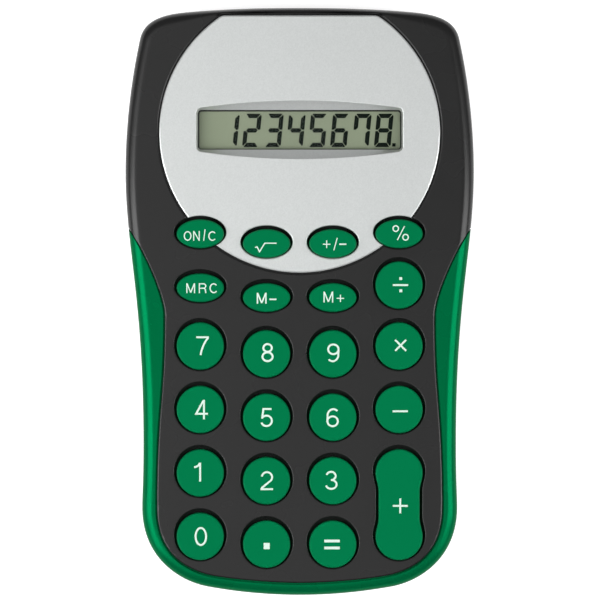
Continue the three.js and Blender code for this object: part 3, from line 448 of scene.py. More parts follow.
def drawn_metal(name, colour, roughness, scratch):
    """Bare metal: fine streaks of a width in millimetres change its roughness and its surface."""
    material, tree, place = new_material(name)
    stretched = add(tree, "Mapping", {"Vector": place, "Scale": (1, 0.08, 1)})
    streaks = add(tree, "TexNoise", {"Vector": stretched, "Scale": 1 / (scratch * MM), "Detail": 3})
    shine = add(tree, "MapRange", {"Value": streaks, "To Min": roughness - 0.08, "To Max": roughness + 0.1})
    bump = add(tree, "Bump", {"Height": streaks, "Distance": 0.002 * MM})
    shader = add(tree, "BsdfPrincipled", {
        "Base Color": linear(colour), "Metallic": 1, "Roughness": shine, "Normal": bump})
    add(tree, "OutputMaterial", {"Surface": shader})
    return material


def dress(names, material):
    """Gives CAD nodes that stay as they are their material."""
    for name in names:
        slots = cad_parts[name].data.materials
        slots.clear()
        slots.append(material)


# Stainless steel: pale grey, satin, with faint streaks from drawing. Nickel plate is warmer
dress(["battery_cell"], drawn_metal("drawn_stainless_can", "#c4c3bf", 0.28, 0.3))
dress(
    ["battery_contact_positive", "battery_contact_negative"],
    drawn_metal("nickel_plated_strip", "#b9b3a4", 0.3, 0.2),
)

# Circuit board and its parts
# A single-sided fibre board under green lacquer. The chip is bonded to its back and covered by a
# poured epoxy blob, with a dipped capacitor and a lacquered resistor beside it.

# Solder lacquer over phenolic board: dull green, with the board's fibres showing as cloud
dress(["circuit_board"], moulded("lacquered_phenolic_board", "#3d7a4a", "#2c6238", 0.38, 0.5, 0.01))
# Poured epoxy: black, glassy, with a slow ripple
dress(["chip_cover"], moulded("poured_black_epoxy", "#17171a", "#101012", 0.2, 1.6, 0.05))
# Dipped ceramic and lacquered film: small waxy bodies
dress(["capacitor"], moulded("dipped_ceramic", "#bd8a48", "#a87637", 0.35, 0.6, 0.02))
dress(["resistor"], moulded("resistor_lacquer", "#cdb98f", "#bda77a", 0.35, 0.6, 0.02))

# Keypad mat and connector strip
# Silicone rubber, pressed in a heated mould. The mat has a dome under each key, and the strip's
# conducting layers join the board to the display glass.

# Silicone: dark grey, dull and slightly waxy
silicone = moulded("pressed_grey_silicone", "#424345", "#38393b", 0.62, 0.4, 0.01, gloss=0.35)
dress(["lcd_connector_strip"], silicone)

# The web, with a hole over the cell's bay and round each screw's boss that it meets
mat_low, mat_high = node_box("keypad_mat")
dome_rise = 1.0
web_z, web_top_z = mat_low[2], mat_high[2] - dome_rise
dome_root, dome_crown, dome_wall = 3.6, 2.4, 0.5
pill_radius = 1.4
web_corner = 8.0
boss_room = 2.6
key_box = {name: node_box(name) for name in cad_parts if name.startswith("key_")}
key_place = {name: (low + high)[:2] / 2 for name, (low, high) in key_box.items()}
web_middle = (mat_low + mat_high)[:2] / 2
web_half = (mat_high - mat_low)[:2] / 2 - (0.55, 0.3)
web = rounded_box(*web_middle, *web_half, web_corner, corner=16)
web_bosses = [place for place in screw_places if np.all(np.abs(place - web_middle) < web_half - boss_room)]
web_holes = [circle(*place, boss_room) for place in web_bosses]
web_holes += [circle(*place, dome_root - dome_wall) for place in key_place.values()]
web_surfaces = [rings([web, web], [web_z, web_top_z])]
web_surfaces += [rings([hole, hole], [web_top_z, web_z]) for hole in web_holes]
web_surfaces += [flat([web] + web_holes, web_z, up=False), flat([web] + web_holes, web_top_z)]
piece("keypad_mat_web", web_surfaces, silicone, replaces=["keypad_mat"])

# The domes: hollow cones with a soft shoulder and a carbon pill inside.
shoulder = 0.2
dome_z, shoulder_z = mat_high[2], mat_high[2] - shoulder
pill_z, roof_z, root_z = dome_z - 0.75, dome_z - dome_wall, web_top_z - 0.02
dome_profile = [
    (0, pill_z), (pill_radius, pill_z), (pill_radius, roof_z), (dome_crown - dome_wall / 2, roof_z),
    (dome_root - dome_wall, root_z), (dome_root, root_z), (dome_crown + shoulder, shoulder_z),
]
dome_profile += [(dome_crown + shoulder - inset, height) for inset, height in rounded(shoulder, dome_z, 6)]
dome_profile += [(0, dome_z)]
for name, (x, y) in key_place.items():
    dome = piece(name.replace("key", "dome", 1), [turned(x, y, dome_profile)], silicone)
    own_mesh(dome)

# Keys
# Caps moulded in through-coloured green ABS, each with a flange that holds it behind the face and
# rests on its dome. Tops are flat and satin with a small rounded edge.
cap_round = 0.3
legend_lift = 0.02
key_bottom_z, key_top_z = key_box["key_5"][0][2], key_box["key_5"][1][2]
flange_reach, flange_height = 1.0, 0.8
round_radius = 4.61
oval_rise = 2.775
bar_waist, bar_centre, bar_waist_share = 4.01, 6.205, 0.42


def eased(share):
    """A smooth step from 0 to 1: three times the square less twice the cube of the share."""
    share = np.clip(share, 0, 1)
    return share**2 * (3 - 2 * share)


def key_plan(name, grow=0.0, count=96):
    """A key's outline, grown by a distance, about its middle and anticlockwise. Round and oval
    keys are ellipses. The long key has two half circles for ends, and between them a half width
    that goes smoothly from a drawn-in waist to the ends' radius."""
    if name != "key_plus":
        rise = round_radius if key_box[name][1][1] - key_box[name][0][1] > 10 else oval_rise
        turn = 2 * np.pi * np.arange(count) / count
        return np.column_stack([(round_radius + grow) * np.cos(turn), (rise + grow) * np.sin(turn)])
    height = np.linspace(-1, 1, 33)[1:-1]
    flare = eased((np.abs(height) - bar_waist_share) / (1 - bar_waist_share))
    side = bar_waist + (round_radius - bar_waist) * flare + grow
    turn = np.linspace(0, np.pi, 41)
    right = np.column_stack([side, height * bar_centre])
    cap = (round_radius + grow) * np.column_stack([np.cos(turn), np.sin(turn)]) + (0, bar_centre)
    half = np.vstack([right, cap])
    return np.vstack([half, -half])


# Green ABS: even, saturated, satin from a polished mould, with only a slight orange peel
key_abs = moulded("satin_green_key_abs", "#017446", "#017043", 0.42, 1.1, 0.004, gloss=0.4, sheen="#1fa066")
cap_top_z = key_top_z - legend_lift
cap_profile = [(-flange_reach, key_bottom_z), (-flange_reach, key_bottom_z + flange_height)]
cap_profile += [(0, key_bottom_z + flange_height), (0, cap_top_z - 1.2)]
cap_profile += rounded(cap_round, cap_top_z, 8) + [(cap_round + 0.25, cap_top_z)]
for name, place in key_place.items():
    piece(f"{name}_cap", capped(key_plan(name) + place, cap_profile), key_abs, name, [name])

# Key legends
# Digits, operators and memory words in white pad-printed ink, one ribbon per pen stroke. Their
# strokes are drawn as centre lines in shares of the height of the capitals.


def bow(x, y, radius_x, radius_y, start, end, count=33):
    """An arc of an ellipse between two angles in degrees."""
    turn = np.radians(np.linspace(start, end, count))
    return np.column_stack([x + radius_x * np.cos(turn), y + radius_y * np.sin(turn)])


def ribbon(path, width):
    """A flat ribbon along a path: both sides are half the width from it along its mitred
    normals, which are longer at a bend by one over the cosine of half its angle."""
    closed = np.allclose(path[0], path[-1])
    if closed:
        path = path[:-1]
    back = path - np.roll(path, 1, axis=0)
    on = np.roll(path, -1, axis=0) - path
    if not closed:
        back[0], on[-1] = on[0], back[-1]
    back, on = [step / np.linalg.norm(step, axis=1, keepdims=True) for step in (back, on)]
    mitre = np.column_stack([(back + on)[:, 1], -(back + on)[:, 0]])
    mitre /= 1 + np.sum(back * on, axis=1, keepdims=True)
    sides = np.stack([path + mitre * width / 2, path - mitre * width / 2])
    count = len(path)
    here = np.arange(count if closed else count - 1)
    following = (here + 1) % count
    return sides.reshape(-1, 2), np.column_stack([here, following, following + count, here + count])


def line(*points):
    """A straight pen stroke through points."""
    return np.array(points, float)


six_strokes = [
    bow(0, 0.315, 0.27, 0.2525, 0, 360),
    np.vstack([bow(0.035, 0.56, 0.305, 0.3775, 48, 165), bow(0.06, 0.42, 0.33, 0.3, 165, 195)]),
]
glyphs = {
    "0": [bow(0, 0.5, 0.27, 0.4375, 0, 360)],
    "1": [line((0.01, 0.02), (0.01, 0.99)), bow(-0.31, 1.01, 0.3, 0.25, -88, -8)],
    "2": [np.vstack([bow(0, 0.675, 0.265, 0.2625, 172, -38), line((-0.255, 0.14), (-0.27, 0.0625))]),
          line((-0.33, 0.0625), (0.31, 0.0625))],
    "3": [bow(-0.02, 0.725, 0.235, 0.2125, 165, -90), bow(-0.01, 0.2875, 0.275, 0.225, 93, -165)],
    "4": [line((0.1, 0.96), (-0.27, 0.285), (0.33, 0.285)), line((0.13, 0), (0.13, 1))],
    "5": [line((0.25, 0.9375), (-0.17, 0.9375), (-0.235, 0.44)),
          bow(-0.01, 0.33, 0.275, 0.2675, 150, -160)],
    "6": six_strokes,
    "7": [line((-0.31, 0.9375), (0.34, 0.9375)), bow(1.2, -0.3, 1.31, 1.654, 133, 168.8)],
    "8": [bow(0, 0.74, 0.215, 0.1975, 0, 360), bow(0, 0.29, 0.26, 0.2275, 0, 360)],
    "9": [stroke * -1 + (0, 1) for stroke in six_strokes],
    "O": [bow(0, 0.5, 0.335, 0.43, 0, 360)],
    "N": [line((-0.28, 0), (-0.28, 1)), line((0.28, 0), (0.28, 1)), line((-0.27, 0.97), (0.27, 0.03))],
    "/": [line((-0.06, 0), (0.06, 1))],
    "C": [bow(0, 0.5, 0.36, 0.43, 42, 318)],
    "M": [line((-0.385, 0), (-0.385, 1)), line((0.385, 0), (0.385, 1)),
          line((-0.37, 0.97), (0, 0.06)), line((0, 0.06), (0.37, 0.97))],
    "R": [line((-0.33, 0), (-0.33, 1)),
          np.vstack([line((-0.33, 0.93), (0.08, 0.93)), bow(0.08, 0.71, 0.23, 0.22, 90, -90),
                     line((-0.33, 0.49))]),
          np.vstack([line((0.08, 0.49)), bow(0.08, 0.3, 0.2, 0.19, 60, 0), line((0.32, 0))])],
    "+": [line((-0.5, 0.5), (0.5, 0.5)), line((0, 0), (0, 1))],
    "-": [line((-0.5, 0.5), (0.5, 0.5))],
}
# Each key's marks: glyph, place of its middle from the key's middle, height and stroke. The pad
# print lies a little off the middle of most keys
key_marks = {
    "key_on_clear": [("O", -2.47, -0.42, 1.93, 0.22), ("N", -0.74, -0.4, 1.92, 0.2),
                     ("/", 0.8, -0.24, 2.25, 0.18), ("C", 2.38, -0.44, 1.92, 0.22)],
    "key_memory_recall": [("M", -1.87, -0.08, 1.93, 0.22), ("R", 0.46, -0.06, 1.95, 0.22),
                          ("C", 2.64, -0.08, 2.0, 0.23)],
    "key_memory_minus": [("M", -0.95, -0.12, 2.15, 0.27), ("-", 1.25, -0.34, 1.36, 0.3)],
    "key_memory_plus": [("M", -0.88, 0.11, 2.15, 0.24), ("+", 1.48, -0.15, 1.44, 0.2)],
    "key_divide": [("-", 0.27, 0, 3, 0.36), ("-", 0.31, 1.28, 0.55, 0.55), ("-", 0.33, -1.11, 0.55, 0.55)],
    "key_minus": [("-", 0.23, -0.33, 2.97, 0.37)],
    "key_plus": [("+", 0.22, -0.21, 2.93, 0.36)],
    "key_equals": [("-", -0.16, 0.645, 3.02, 0.53), ("-", -0.16, -0.715, 3.02, 0.53)],
    "key_point": [("-", 0.03, -0.335, 1.18, 1.22)],
    "key_0": [("0", 0.11, 0.01, 3.8, 0.37)],
    "key_1": [("1", -0.06, 0.17, 3.8, 0.37)],
    "key_2": [("2", 0.08, 0.03, 3.8, 0.36)],
    "key_3": [("3", -0.27, 0.1, 3.8, 0.37)],
    "key_4": [("4", 0.23, 0, 3.8, 0.37)],
    "key_5": [("5", 0.03, -0.03, 3.8, 0.37)],
    "key_6": [("6", -0.04, -0.06, 3.8, 0.37)],
    "key_7": [("7", 0.39, 0.07, 3.8, 0.36)],
    "key_8": [("8", 0.2, 0.25, 3.8, 0.38)],
    "key_9": [("9", 0.1, 0.2, 3.75, 0.37)],
}
legend_strokes = {name: [] for name in key_place}
for name, marks in key_marks.items():
    for glyph, x, y, height, stroke in marks:
        legend_strokes[name] += [(pen * height + (x, y - height / 2), stroke) for pen in glyphs[glyph]]
# Marks that no glyph gives: the multiplication cross, the percent sign, the sign change and the root
legend_strokes["key_multiply"] = [
    (line((-0.78, -0.92), (1.36, 1.22)), 0.36), (line((-0.78, 1.22), (1.36, -0.92)), 0.36)]
legend_strokes["key_percent"] = [
    (line((-0.34, -1.22), (1.05, 1.48)), 0.2), (bow(-0.66, 1.02, 0.53, 0.55, 0, 360), 0.23),
    (bow(1.26, -0.67, 0.53, 0.57, 0, 360), 0.23)]
legend_strokes["key_plus_minus"] = [
    (line((-1.95, -0.13), (-0.47, -0.13)), 0.2), (line((-1.2, -0.88), (-1.2, 0.62)), 0.2),
    (line((0.18, -1.33), (0.86, 1.13)), 0.19), (line((1.28, -0.12), (2.65, -0.12)), 0.27)]
legend_strokes["key_square_root"] = [
    (line((-2.25, -0.78), (-1.85, -0.62), (-1.38, -1.6), (-0.34, 0.07), (1.95, 0.07)), 0.22)]


def coated(name, dark, pale, size, roughness, gloss, detail=2):
    """An even coat or panel: a cloud of two near colours, with features of a size in millimetres."""
    material, tree, place = new_material(name)
    cloud = add(tree, "TexNoise", {"Vector": place, "Scale": 1 / (size * MM), "Detail": detail})
    tint = add(tree, "MixRGB", {"Fac": cloud, "Color1": linear(dark), "Color2": linear(pale)})
    shader = add(tree, "BsdfPrincipled", {
        "Base Color": tint, "Roughness": roughness, "Specular IOR Level": gloss})
    add(tree, "OutputMaterial", {"Surface": shader})
    return material


# Pad-printed ink: plain white, slightly glossy where it lies thick, with a soft grain
ink = coated("white_pad_print_ink", "#d5ecdf", "#dff5e8", 0.3, roughness=0.45, gloss=0.2)
ink_step = legend_lift / 10
for name, strokes in legend_strokes.items():
    surfaces = []
    for layer, (path, width) in enumerate(strokes):
        plan, faces = ribbon(path, width)
        plan = plan + key_place[name]
        surfaces.append((at_height(plan, key_top_z - layer * ink_step), faces))
    piece(name.replace("key", "legend", 1), surfaces, ink, name)

# Display
# A liquid crystal cell: two glasses with a polariser on the front and a foil reflector behind, in
# a grey frame. The dark digits are its switched segments, slanted and mitred at their ends.

# Display glass: grey-green from the polariser and the reflector behind it, flat and even
lcd_glass = coated("polarised_display_glass", "#8d957f", "#969e87", 14, roughness=0.35, gloss=0.2, detail=1)
dress(["lcd_front_glass", "lcd_rear_glass"], lcd_glass)
dress(["lcd_reflector"], drawn_metal("satin_reflector_foil", "#c3c8bd", 0.35, 0.5))
dress(["lcd_frame"], moulded("plain_grey_frame", "#8f9190", "#858786", 0.5, 0.5, 0.01))

digit_width, segment_height = 3.27, 6.54
upright, level, slit = 0.84, 0.86, 0.1
digit_pitch, slant = 4.304, 0.097
last_digit = (16.47, 33.5)
# The outline of each segment of a digit with its lower left corner at 0, by its width, height and
# half height
w, h, m = digit_width, segment_height, segment_height / 2
segments = {
    "top": [(0.36, h), (w - 0.36, h), (w - 0.3, h - 0.1), (w - upright, h - level), (upright, h - level),
            (0.3, h - 0.1)],
    "bottom": [(0.36, 0), (0.3, 0.1), (upright, level), (w - upright, level), (w - 0.3, 0.1), (w - 0.36, 0)],
    "middle": [(upright / 2 + slit, m), (upright, m - level / 2), (w - upright, m - level / 2),
               (w - upright / 2 - slit, m), (w - upright, m + level / 2), (upright, m + level / 2)],
    "upper_left": [(0.2, h - 0.24), (0, h - 0.42), (0, m + 0.16), (upright / 2, m + slit),
                   (upright, m + level / 2 + slit), (upright, h - level - slit)],
    "lower_left": [(0.2, 0.24), (upright, level + slit), (upright, m - level / 2 - slit),
                   (upright / 2, m - slit), (0, m - 0.16), (0, 0.42)],
}
for side in ("upper", "lower"):
    segments[f"{side}_right"] = [(w - x, y) for x, y in segments[f"{side}_left"]][::-1]
lit = {
    "1": "upper_right lower_right",
    "2": "top upper_right middle lower_left bottom",
    "3": "top upper_right middle lower_right bottom",
    "4": "upper_left upper_right middle lower_right",
    "5": "top upper_left middle lower_right bottom",
    "6": "top upper_left middle lower_left lower_right bottom",
    "7": "top upper_left upper_right lower_right",
    "8": "top upper_left upper_right middle lower_left lower_right bottom",
}
segment_surfaces = []
segment_z = node_box("lcd_front_glass")[1][2] + 0.04
for index, digit in enumerate("12345678"):
    corner = np.array(last_digit) - (digit_pitch * (7 - index) + w / 2, m)
    for name in lit[digit].split():
        plan = np.array(segments[name])
        plan = plan + (plan[:, 1:] - m) * (slant, 0) + corner
        segment_surfaces.append((at_height(plan, segment_z), [range(len(plan))]))
point_plan = np.array([(18.09, 30.33), (18.75, 30.33), (18.81, 30.99), (18.15, 30.99)])
segment_surfaces.append((at_height(point_plan, segment_z), [range(len(point_plan))]))

# Switched segments: nearly black with a green cast, because a little of the reflector shows
switched = coated("switched_segments", "#0c150f", "#111b15", 5, roughness=0.5, gloss=0.05)
piece("display_segments", segment_surfaces, switched)

# Front case
# The front half of the housing, in the same textured ABS. Its face has a hole for each key and a
# sunk place for the face plate. Below its shoulders the side grip wraps it, and a wall goes down
# inside the grip along a narrow seam.
grip_reach = 7.48
seam_gap = 0.3
face_waist_x = half_width - grip_reach
edge_controls = np.array([
    (1, 1.013, 0.262),
    (1, 0.709, 0.219), (1, 0, 0.028), (1, 0, -0.047),
    (1, 0, -0.335), (1.058, 0, -0.358), (1.058, 0, -0.7),
    (1.058, 0, -0.818), (0.946, 0, -0.901), (0.68, 0, -0.934),
    (0.543, 0, -0.95), (0.199, 0, -0.963), (0, 0, -0.963),
]) @ np.array([(face_waist_x, 0), (grip_reach, 0), (0, half_length)])
grip_edge = evened(cubic_chain(edge_controls, 60), 301)
run_in = grip_edge[0] + (grip_edge[0] - grip_edge[1]) * 6
grip_edge = np.vstack([run_in, grip_edge])


def beside(points, path):
    """How far points lie to the right of a path, or to its left when negative: the distance to
    the nearest stretch, with the sign of the side on which the point lies of that stretch."""
    start, step = path[:-1], np.diff(path, axis=0)
    offset = points[:, None] - start[None]
    share = np.clip((offset * step).sum(-1) / (step**2).sum(-1), 0, 1)
    gap = offset - share[..., None] * step
    distance = np.linalg.norm(gap, axis=-1)
    nearest = distance.argmin(axis=1)
    rows = np.arange(len(points))
    side = step[nearest, 1] * offset[rows, nearest, 0] - step[nearest, 0] * offset[rows, nearest, 1]
    return distance[rows, nearest] * np.sign(side)


def meeting(path, reach):
    """Where a path crosses the grip's edge: its reach beside the edge passes 0 there, between the
    point of the returned index and the next."""
    last = np.flatnonzero(reach < 0)[0] - 1
    share = reach[last] / (reach[last] - reach[last + 1])
    return last, path[last] + share * (path[last + 1] - path[last])


half_normals = outward(outline)[:len(half_outline)][::-1]
# The share of its full width that the rounded band has along the outline: least where the face
# plate comes close to the top, and full from the corners on
band_least, band_start, band_run = 0.42, 14, 12
band = band_least + (1 - band_least) * eased((half_outline[:, 0] - band_start) / band_run)
band = np.where(half_outline[:, 1] > 0, band, 1)[:, None]
# The seam narrows towards the grip's tips, over the first quarter of the edge, and its bevel
# keeps its width
seam_least, seam_run = 0.55, 0.25
seam_share = eased(np.linspace(-0.02, 1, len(grip_edge))[:, None] / seam_run)
seam_share = seam_least + (1 - seam_least) * seam_share
narrowing = seam_gap * (1 - seam_share)


def face_half(inset, edge_gap, outline_count=200, edge_count=170):
    """The right half of the face's plan: the outline moved in by an inset, down to where it meets
    the grip's edge moved in by a gap, and from there along that edge to the bottom middle."""
    path = half_outline - inset * band * half_normals
    last, corner = meeting(path, beside(path, grip_edge) - edge_gap + narrowing[0])
    edge = grip_edge + (edge_gap - narrowing) * rightward(np.gradient(grip_edge, axis=0))
    first = np.linalg.norm(edge - corner, axis=1).argmin() + 1
    upper = evened(np.vstack([path[:last + 1], corner]), outline_count)
    lower = evened(np.vstack([corner, edge[first:-1], (0, edge[-1, 1])]), edge_count)
    return np.vstack([upper, lower[1:]])


front_edge_radius = 2.2
face_bevel, bevel_drop = 0.24, 0.13
skirt_wall = 1.0
ceiling_z = 8.7
front_profile = [(inner_wall, seam_gap + skirt_wall, z) for z in (ceiling_z, parting_z)]
front_profile += [
    (side_draft + parting_bevel, seam_gap, parting_z), (side_draft, seam_gap, parting_z + parting_bevel)]
front_profile += [(inset, seam_gap, height) for inset, height in rounded(front_edge_radius, face_z, 17)]
front_profile = [
    (inset, gap + face_bevel * max(0, 1 - (face_z - height) / bevel_drop), height)
    for inset, gap, height in front_profile
]
front_profile += [(front_edge_radius + rim_flat, seam_gap + face_bevel + 0.2, face_z)]
face_loops = [both_sides(face_half(inset, gap)) for inset, gap, _ in front_profile]
front_surfaces = [rings(face_loops, [height for _, _, height in front_profile])]

# Key holes sit a little above their keys and slope down to a ledge that fits close round the cap
hole_gap, key_sag = 0.44, 0.32
ledge_gap = 0.1
hole_bevel = [(0.34, 0), (0.24, 0), (0.12, 0.03), (0.04, 0.1), (0, 0.2)]
bevel_heights = [face_z - drop for _, drop in hole_bevel]
plate_floor_z = 9.4
plate_keys = ["key_square_root", "key_plus_minus"]
rim_key = "key_percent"
rim_keys = ["key_on_clear", rim_key]


def hole_plan(name, grow=0.0):
    """A key hole's outline, grown by a distance."""
    return key_plan(name, hole_gap + grow) + key_place[name] + (0, key_sag)


top_holes, floor_holes, ceiling_holes = [], [], []
for name in key_place:
    ledge = key_plan(name, ledge_gap) + key_place[name]
    ceiling_holes.append(ledge)
    if name in plate_keys + rim_keys:
        hole = hole_plan(name, -0.02)
        floor_holes.append(hole)
        front_surfaces.append(rings([hole, ledge, ledge], [plate_floor_z, ceiling_z + 0.1, ceiling_z]))
        continue
    loops = [hole_plan(name, grow) for grow, _ in hole_bevel] + [ledge, ledge]
    front_surfaces.append(rings(loops, bevel_heights + [plate_floor_z, ceiling_z]))
    top_holes.append(loops[0])

# The place for the plate: a disc cut by a chord at the top, with round corners. The two outer
# function keys' holes cross its edge
plate_low, plate_high = node_box("face_plate")
plate_radius = plate_high[0]
plate_y = plate_low[1] + plate_radius
plate_top = plate_high[1] - plate_y
plate_corner = 2.0


def plate_half(grow=0.0):
    """The right half of the plate's outline from the bottom middle to the top middle: the disc's
    arc, a small arc that touches both the disc and the chord, and the chord."""
    corner_y = plate_top - plate_corner
    corner_x = math.sqrt((plate_radius - plate_corner) ** 2 - corner_y**2)
    lean = math.degrees(math.atan2(corner_y, corner_x))
    radius, corner = plate_radius + grow, plate_corner + grow
    return np.vstack([
        bow(0, plate_y, radius, radius, -90, lean, 181),
        bow(corner_x, plate_y + corner_y, corner, corner, lean, 90, 17)[1:],
        (0, plate_y + plate_top + grow),
    ])


def plate_loop(grow, hole_grow, within):
    """The plate's outline, grown by a distance and crossed by the two outer holes: along each it
    follows the hole's arc within the plate or the one outside it."""
    x, y = key_place[rim_key] + (0, key_sag)
    reach = hole_gap + hole_grow
    before, _, after, *arcs = crossing(plate_half(grow), x, y, round_radius + reach, oval_rise + reach)
    half = np.vstack([evened(before, 90), evened(arcs[within], 60)[1:], evened(after, 140)[1:]])
    return both_sides(half[::-1])


sunk_loops = [plate_loop(seam_gap + grow, grow, within=False) for grow, _ in hole_bevel + [(0, 0)]]
front_surfaces.append(rings(sunk_loops, bevel_heights + [plate_floor_z]))

# The display well's place: the lens-shaped mouth grown by the well's wall and the seam
window_low, window_high = node_box("display_window")
window_y = (window_low + window_high)[1] / 2
glued_edge = (1.3, 1.17)
window_half = (window_high - window_low)[:2] / 2 - glued_edge
well_lip, well_crown, well_wall = 0.3, 1.5, 1.1


def lens(grow):
    """The well's mouth, grown by a distance: a rounded box whose long sides bow out by a crown
    times one minus the square of the share of the way from the middle to the ends."""
    half_x, half_y = window_half + well_lip + grow
    loop = rounded_box(0, 0, half_x, half_y, 0.9 + max(grow, 0), corner=12, side=60)
    lift = well_crown * (1 - (loop[:, 0] / half_x) ** 2) * np.clip(loop[:, 1] / half_y, -1, 1)
    return np.column_stack([loop[:, 0], loop[:, 1] + lift + window_y])


well_hole = lens(well_wall + seam_gap)
floor_holes.append(well_hole)
ceiling_holes.append(well_hole)
front_surfaces += [
    rings([well_hole, well_hole], [plate_floor_z, ceiling_z]),
    flat([face_loops[-1], sunk_loops[0]] + top_holes, face_z),
    flat([sunk_loops[-1]] + floor_holes, plate_floor_z),
    flat([face_loops[0]] + ceiling_holes, ceiling_z, up=False),
]
piece("front_case_shell", front_surfaces, textured_abs, replaces=["front_case"])

# Face plate
# A separate moulding painted silver and glued into its place, flush with the face. Its edge is
# bevelled, and the display well is formed in one piece with it.
plate_under_z = plate_floor_z + 0.05
plate_bevel = 0.22
well_z, well_under_z = face_z - 1.0, face_z - 1.6
plate_profile = [
    (0, 0, plate_under_z), (0, 0, face_z - 0.14), (-plate_bevel, 0.1, face_z),
    (-plate_bevel - 0.1, 0.2, face_z),
]
plate_loops = [plate_loop(grow, hole_grow, within=True) for grow, hole_grow, _ in plate_profile]
plate_surfaces = [rings(plate_loops, [height for _, _, height in plate_profile])]
upper_holes, lower_holes = [], []
for name in plate_keys:
    loops = [hole_plan(name, grow) for grow, _ in hole_bevel] + [hole_plan(name)]
    plate_surfaces.append(rings(loops, bevel_heights + [plate_under_z]))
    upper_holes.append(loops[0])
    lower_holes.append(loops[-1])
opening = rounded_box(0, window_y, *window_half, 0.7, corner=12, side=60)
mouth, mouth_rim = lens(0), lens(0.16)
slope = [mouth + share * (opening - mouth) for share in (0.02, 0.98)]
block = lens(well_wall)
plate_surfaces += [
    rings([mouth_rim, lens(0.06), mouth, *slope, opening, opening],
          [face_z, face_z, face_z - 0.03, face_z - 0.07, well_z + 0.03, well_z - 0.04, well_under_z]),
    rings([block, block], [well_under_z, plate_under_z]),
    flat([block, opening], well_under_z, up=False),
    flat([plate_loops[-1], mouth_rim] + upper_holes, face_z),
    flat([plate_loops[0], block] + lower_holes, plate_under_z, up=False),
]
# Silver paint on ABS: pale neutral grey with fine flake that glints a little, satin clear coat
silver_paint, tree, place = new_material("silver_paint_on_abs")
flake = add(tree, "TexVoronoi", {"Vector": place, "Scale": 1 / (0.22 * MM)}).outputs
cloud = add(tree, "TexNoise", {"Vector": place, "Scale": 1 / (12 * MM), "Detail": 2})
tint = add(tree, "MixRGB", {
    "Fac": flake["Color"], "Color1": linear("#c8cbca"), "Color2": linear("#d1d4d3")})
shine = add(tree, "MapRange", {"Value": cloud, "To Min": 0.34, "To Max": 0.38})
bump = add(tree, "Bump", {"Height": flake["Distance"], "Distance": 0.002 * MM})
shader = add(tree, "BsdfPrincipled", {
    "Base Color": tint, "Roughness": shine, "Metallic": 0.5, "Normal": bump})
add(tree, "OutputMaterial", {"Surface": shader})
piece("face_plate_moulding", plate_surfaces, silver_paint, replaces=["face_plate"])

# Display window
# A clear acrylic panel glued behind the well. It is thin and flat, so light goes straight through
# and only a faint gloss shows.
acrylic, tree, place = new_material("clear_cast_acrylic")
wave = add(tree, "TexNoise", {"Vector": place, "Scale": 1 / (20 * MM)})
bump = add(tree, "Bump", {"Height": wave, "Distance": 0.01 * MM})
clear = add(tree, "BsdfTransparent", {"Color": linear("#fafbfa")})
gloss = add(tree, "BsdfGlossy", {"Roughness": 0.04, "Normal": bump})
front = add(tree, "MixShader", {0: add(tree, "Fresnel", {"IOR": 1.22}), 1: clear, 2: gloss})
inside = add(tree, "NewGeometry", {}).outputs["Backfacing"]
add(tree, "OutputMaterial", {"Surface": add(tree, "MixShader", {0: inside, 1: front, 2: clear})})
dress(["display_window"], acrylic)

# A dark border on the panel's back is painted shade: it stands for the shade in the gap round the opening,
# and shows as a fine line inside it. It is wider at the top, where the painted shade is deeper.
border = coated("painted_shade_border", "#262826", "#303230", 0.4, roughness=0.6, gloss=0.2)
border_z = window_low[2] - 0.01
border_inside = rounded_box(0, window_y - 0.1, window_half[0] - 0.3, window_half[1] - 0.2, 0.5)
border_outside = rounded_box(0, window_y, *(window_half + 1), 0.5)
piece("display_window_painted_shade", [flat([border_outside, border_inside], border_z)], border)

# Side grip
# One U-shaped moulding in green ABS round the lower half, clamped between the two cases. It runs
# out to a point on each shoulder, and its top rounds over into the side.
last, tip = meeting(half_outline, beside(half_outline, grip_edge))
grip_half = evened(np.vstack([tip, half_outline[last + 1:]]), 300)
grip_outer = np.vstack([grip_half * (-1, 1), grip_half[-2::-1]])


def grip_widths(path, normals, far=6.0, count=160):
    """How far the grip reaches in from the outline: along each inward normal, the distance at
    which the side of the grip's edge changes, found between two of many trial places."""
    trials = np.linspace(0, far, count)
    places = path[:, None] - trials[None, :, None] * normals[:, None]
    mirrored = np.abs(places.reshape(-1, 2)) * (1, 0) + places.reshape(-1, 2) * (0, 1)
    side = np.concatenate([beside(rows, grip_edge) for rows in np.array_split(mirrored, 40)])
    side = side.reshape(len(path), count)
    change = (side[:, 1:] >= 0) & (side[:, :-1] < 0)
    first = change.argmax(axis=1)
    rows = np.arange(len(path))
    low, high = side[rows, first], side[rows, first + 1]
    width = trials[first] + (trials[1] - trials[0]) * -low / np.where(high == low, 1, high - low)
    return np.where(change.any(axis=1), width, 0)


grip_normals = rightward(np.gradient(grip_outer, axis=0))
widths = grip_widths(grip_outer, grip_normals)
# A tongue on the grip's inner side lies under the face's edge and closes the seam from below
inner_edge = (grip_outer - widths[:, None] * grip_normals) * np.sign(grip_outer[:, :1]) ** (1, 0)
nearest = np.linalg.norm(inner_edge[:, None] - grip_edge[None], axis=-1).argmin(axis=1)
tongue = widths + np.maximum(seam_gap * seam_share[nearest, 0] - 0.04, 0)
tongue_drop, tongue_height = 0.9, 1.0


def grip_height(inset):
    """Height of the grip's top at a distance in from the outline: a quarter circle, then flat."""
    left = np.clip(front_edge_radius - inset, 0, front_edge_radius)
    return face_z - front_edge_radius + np.sqrt(front_edge_radius**2 - left**2)


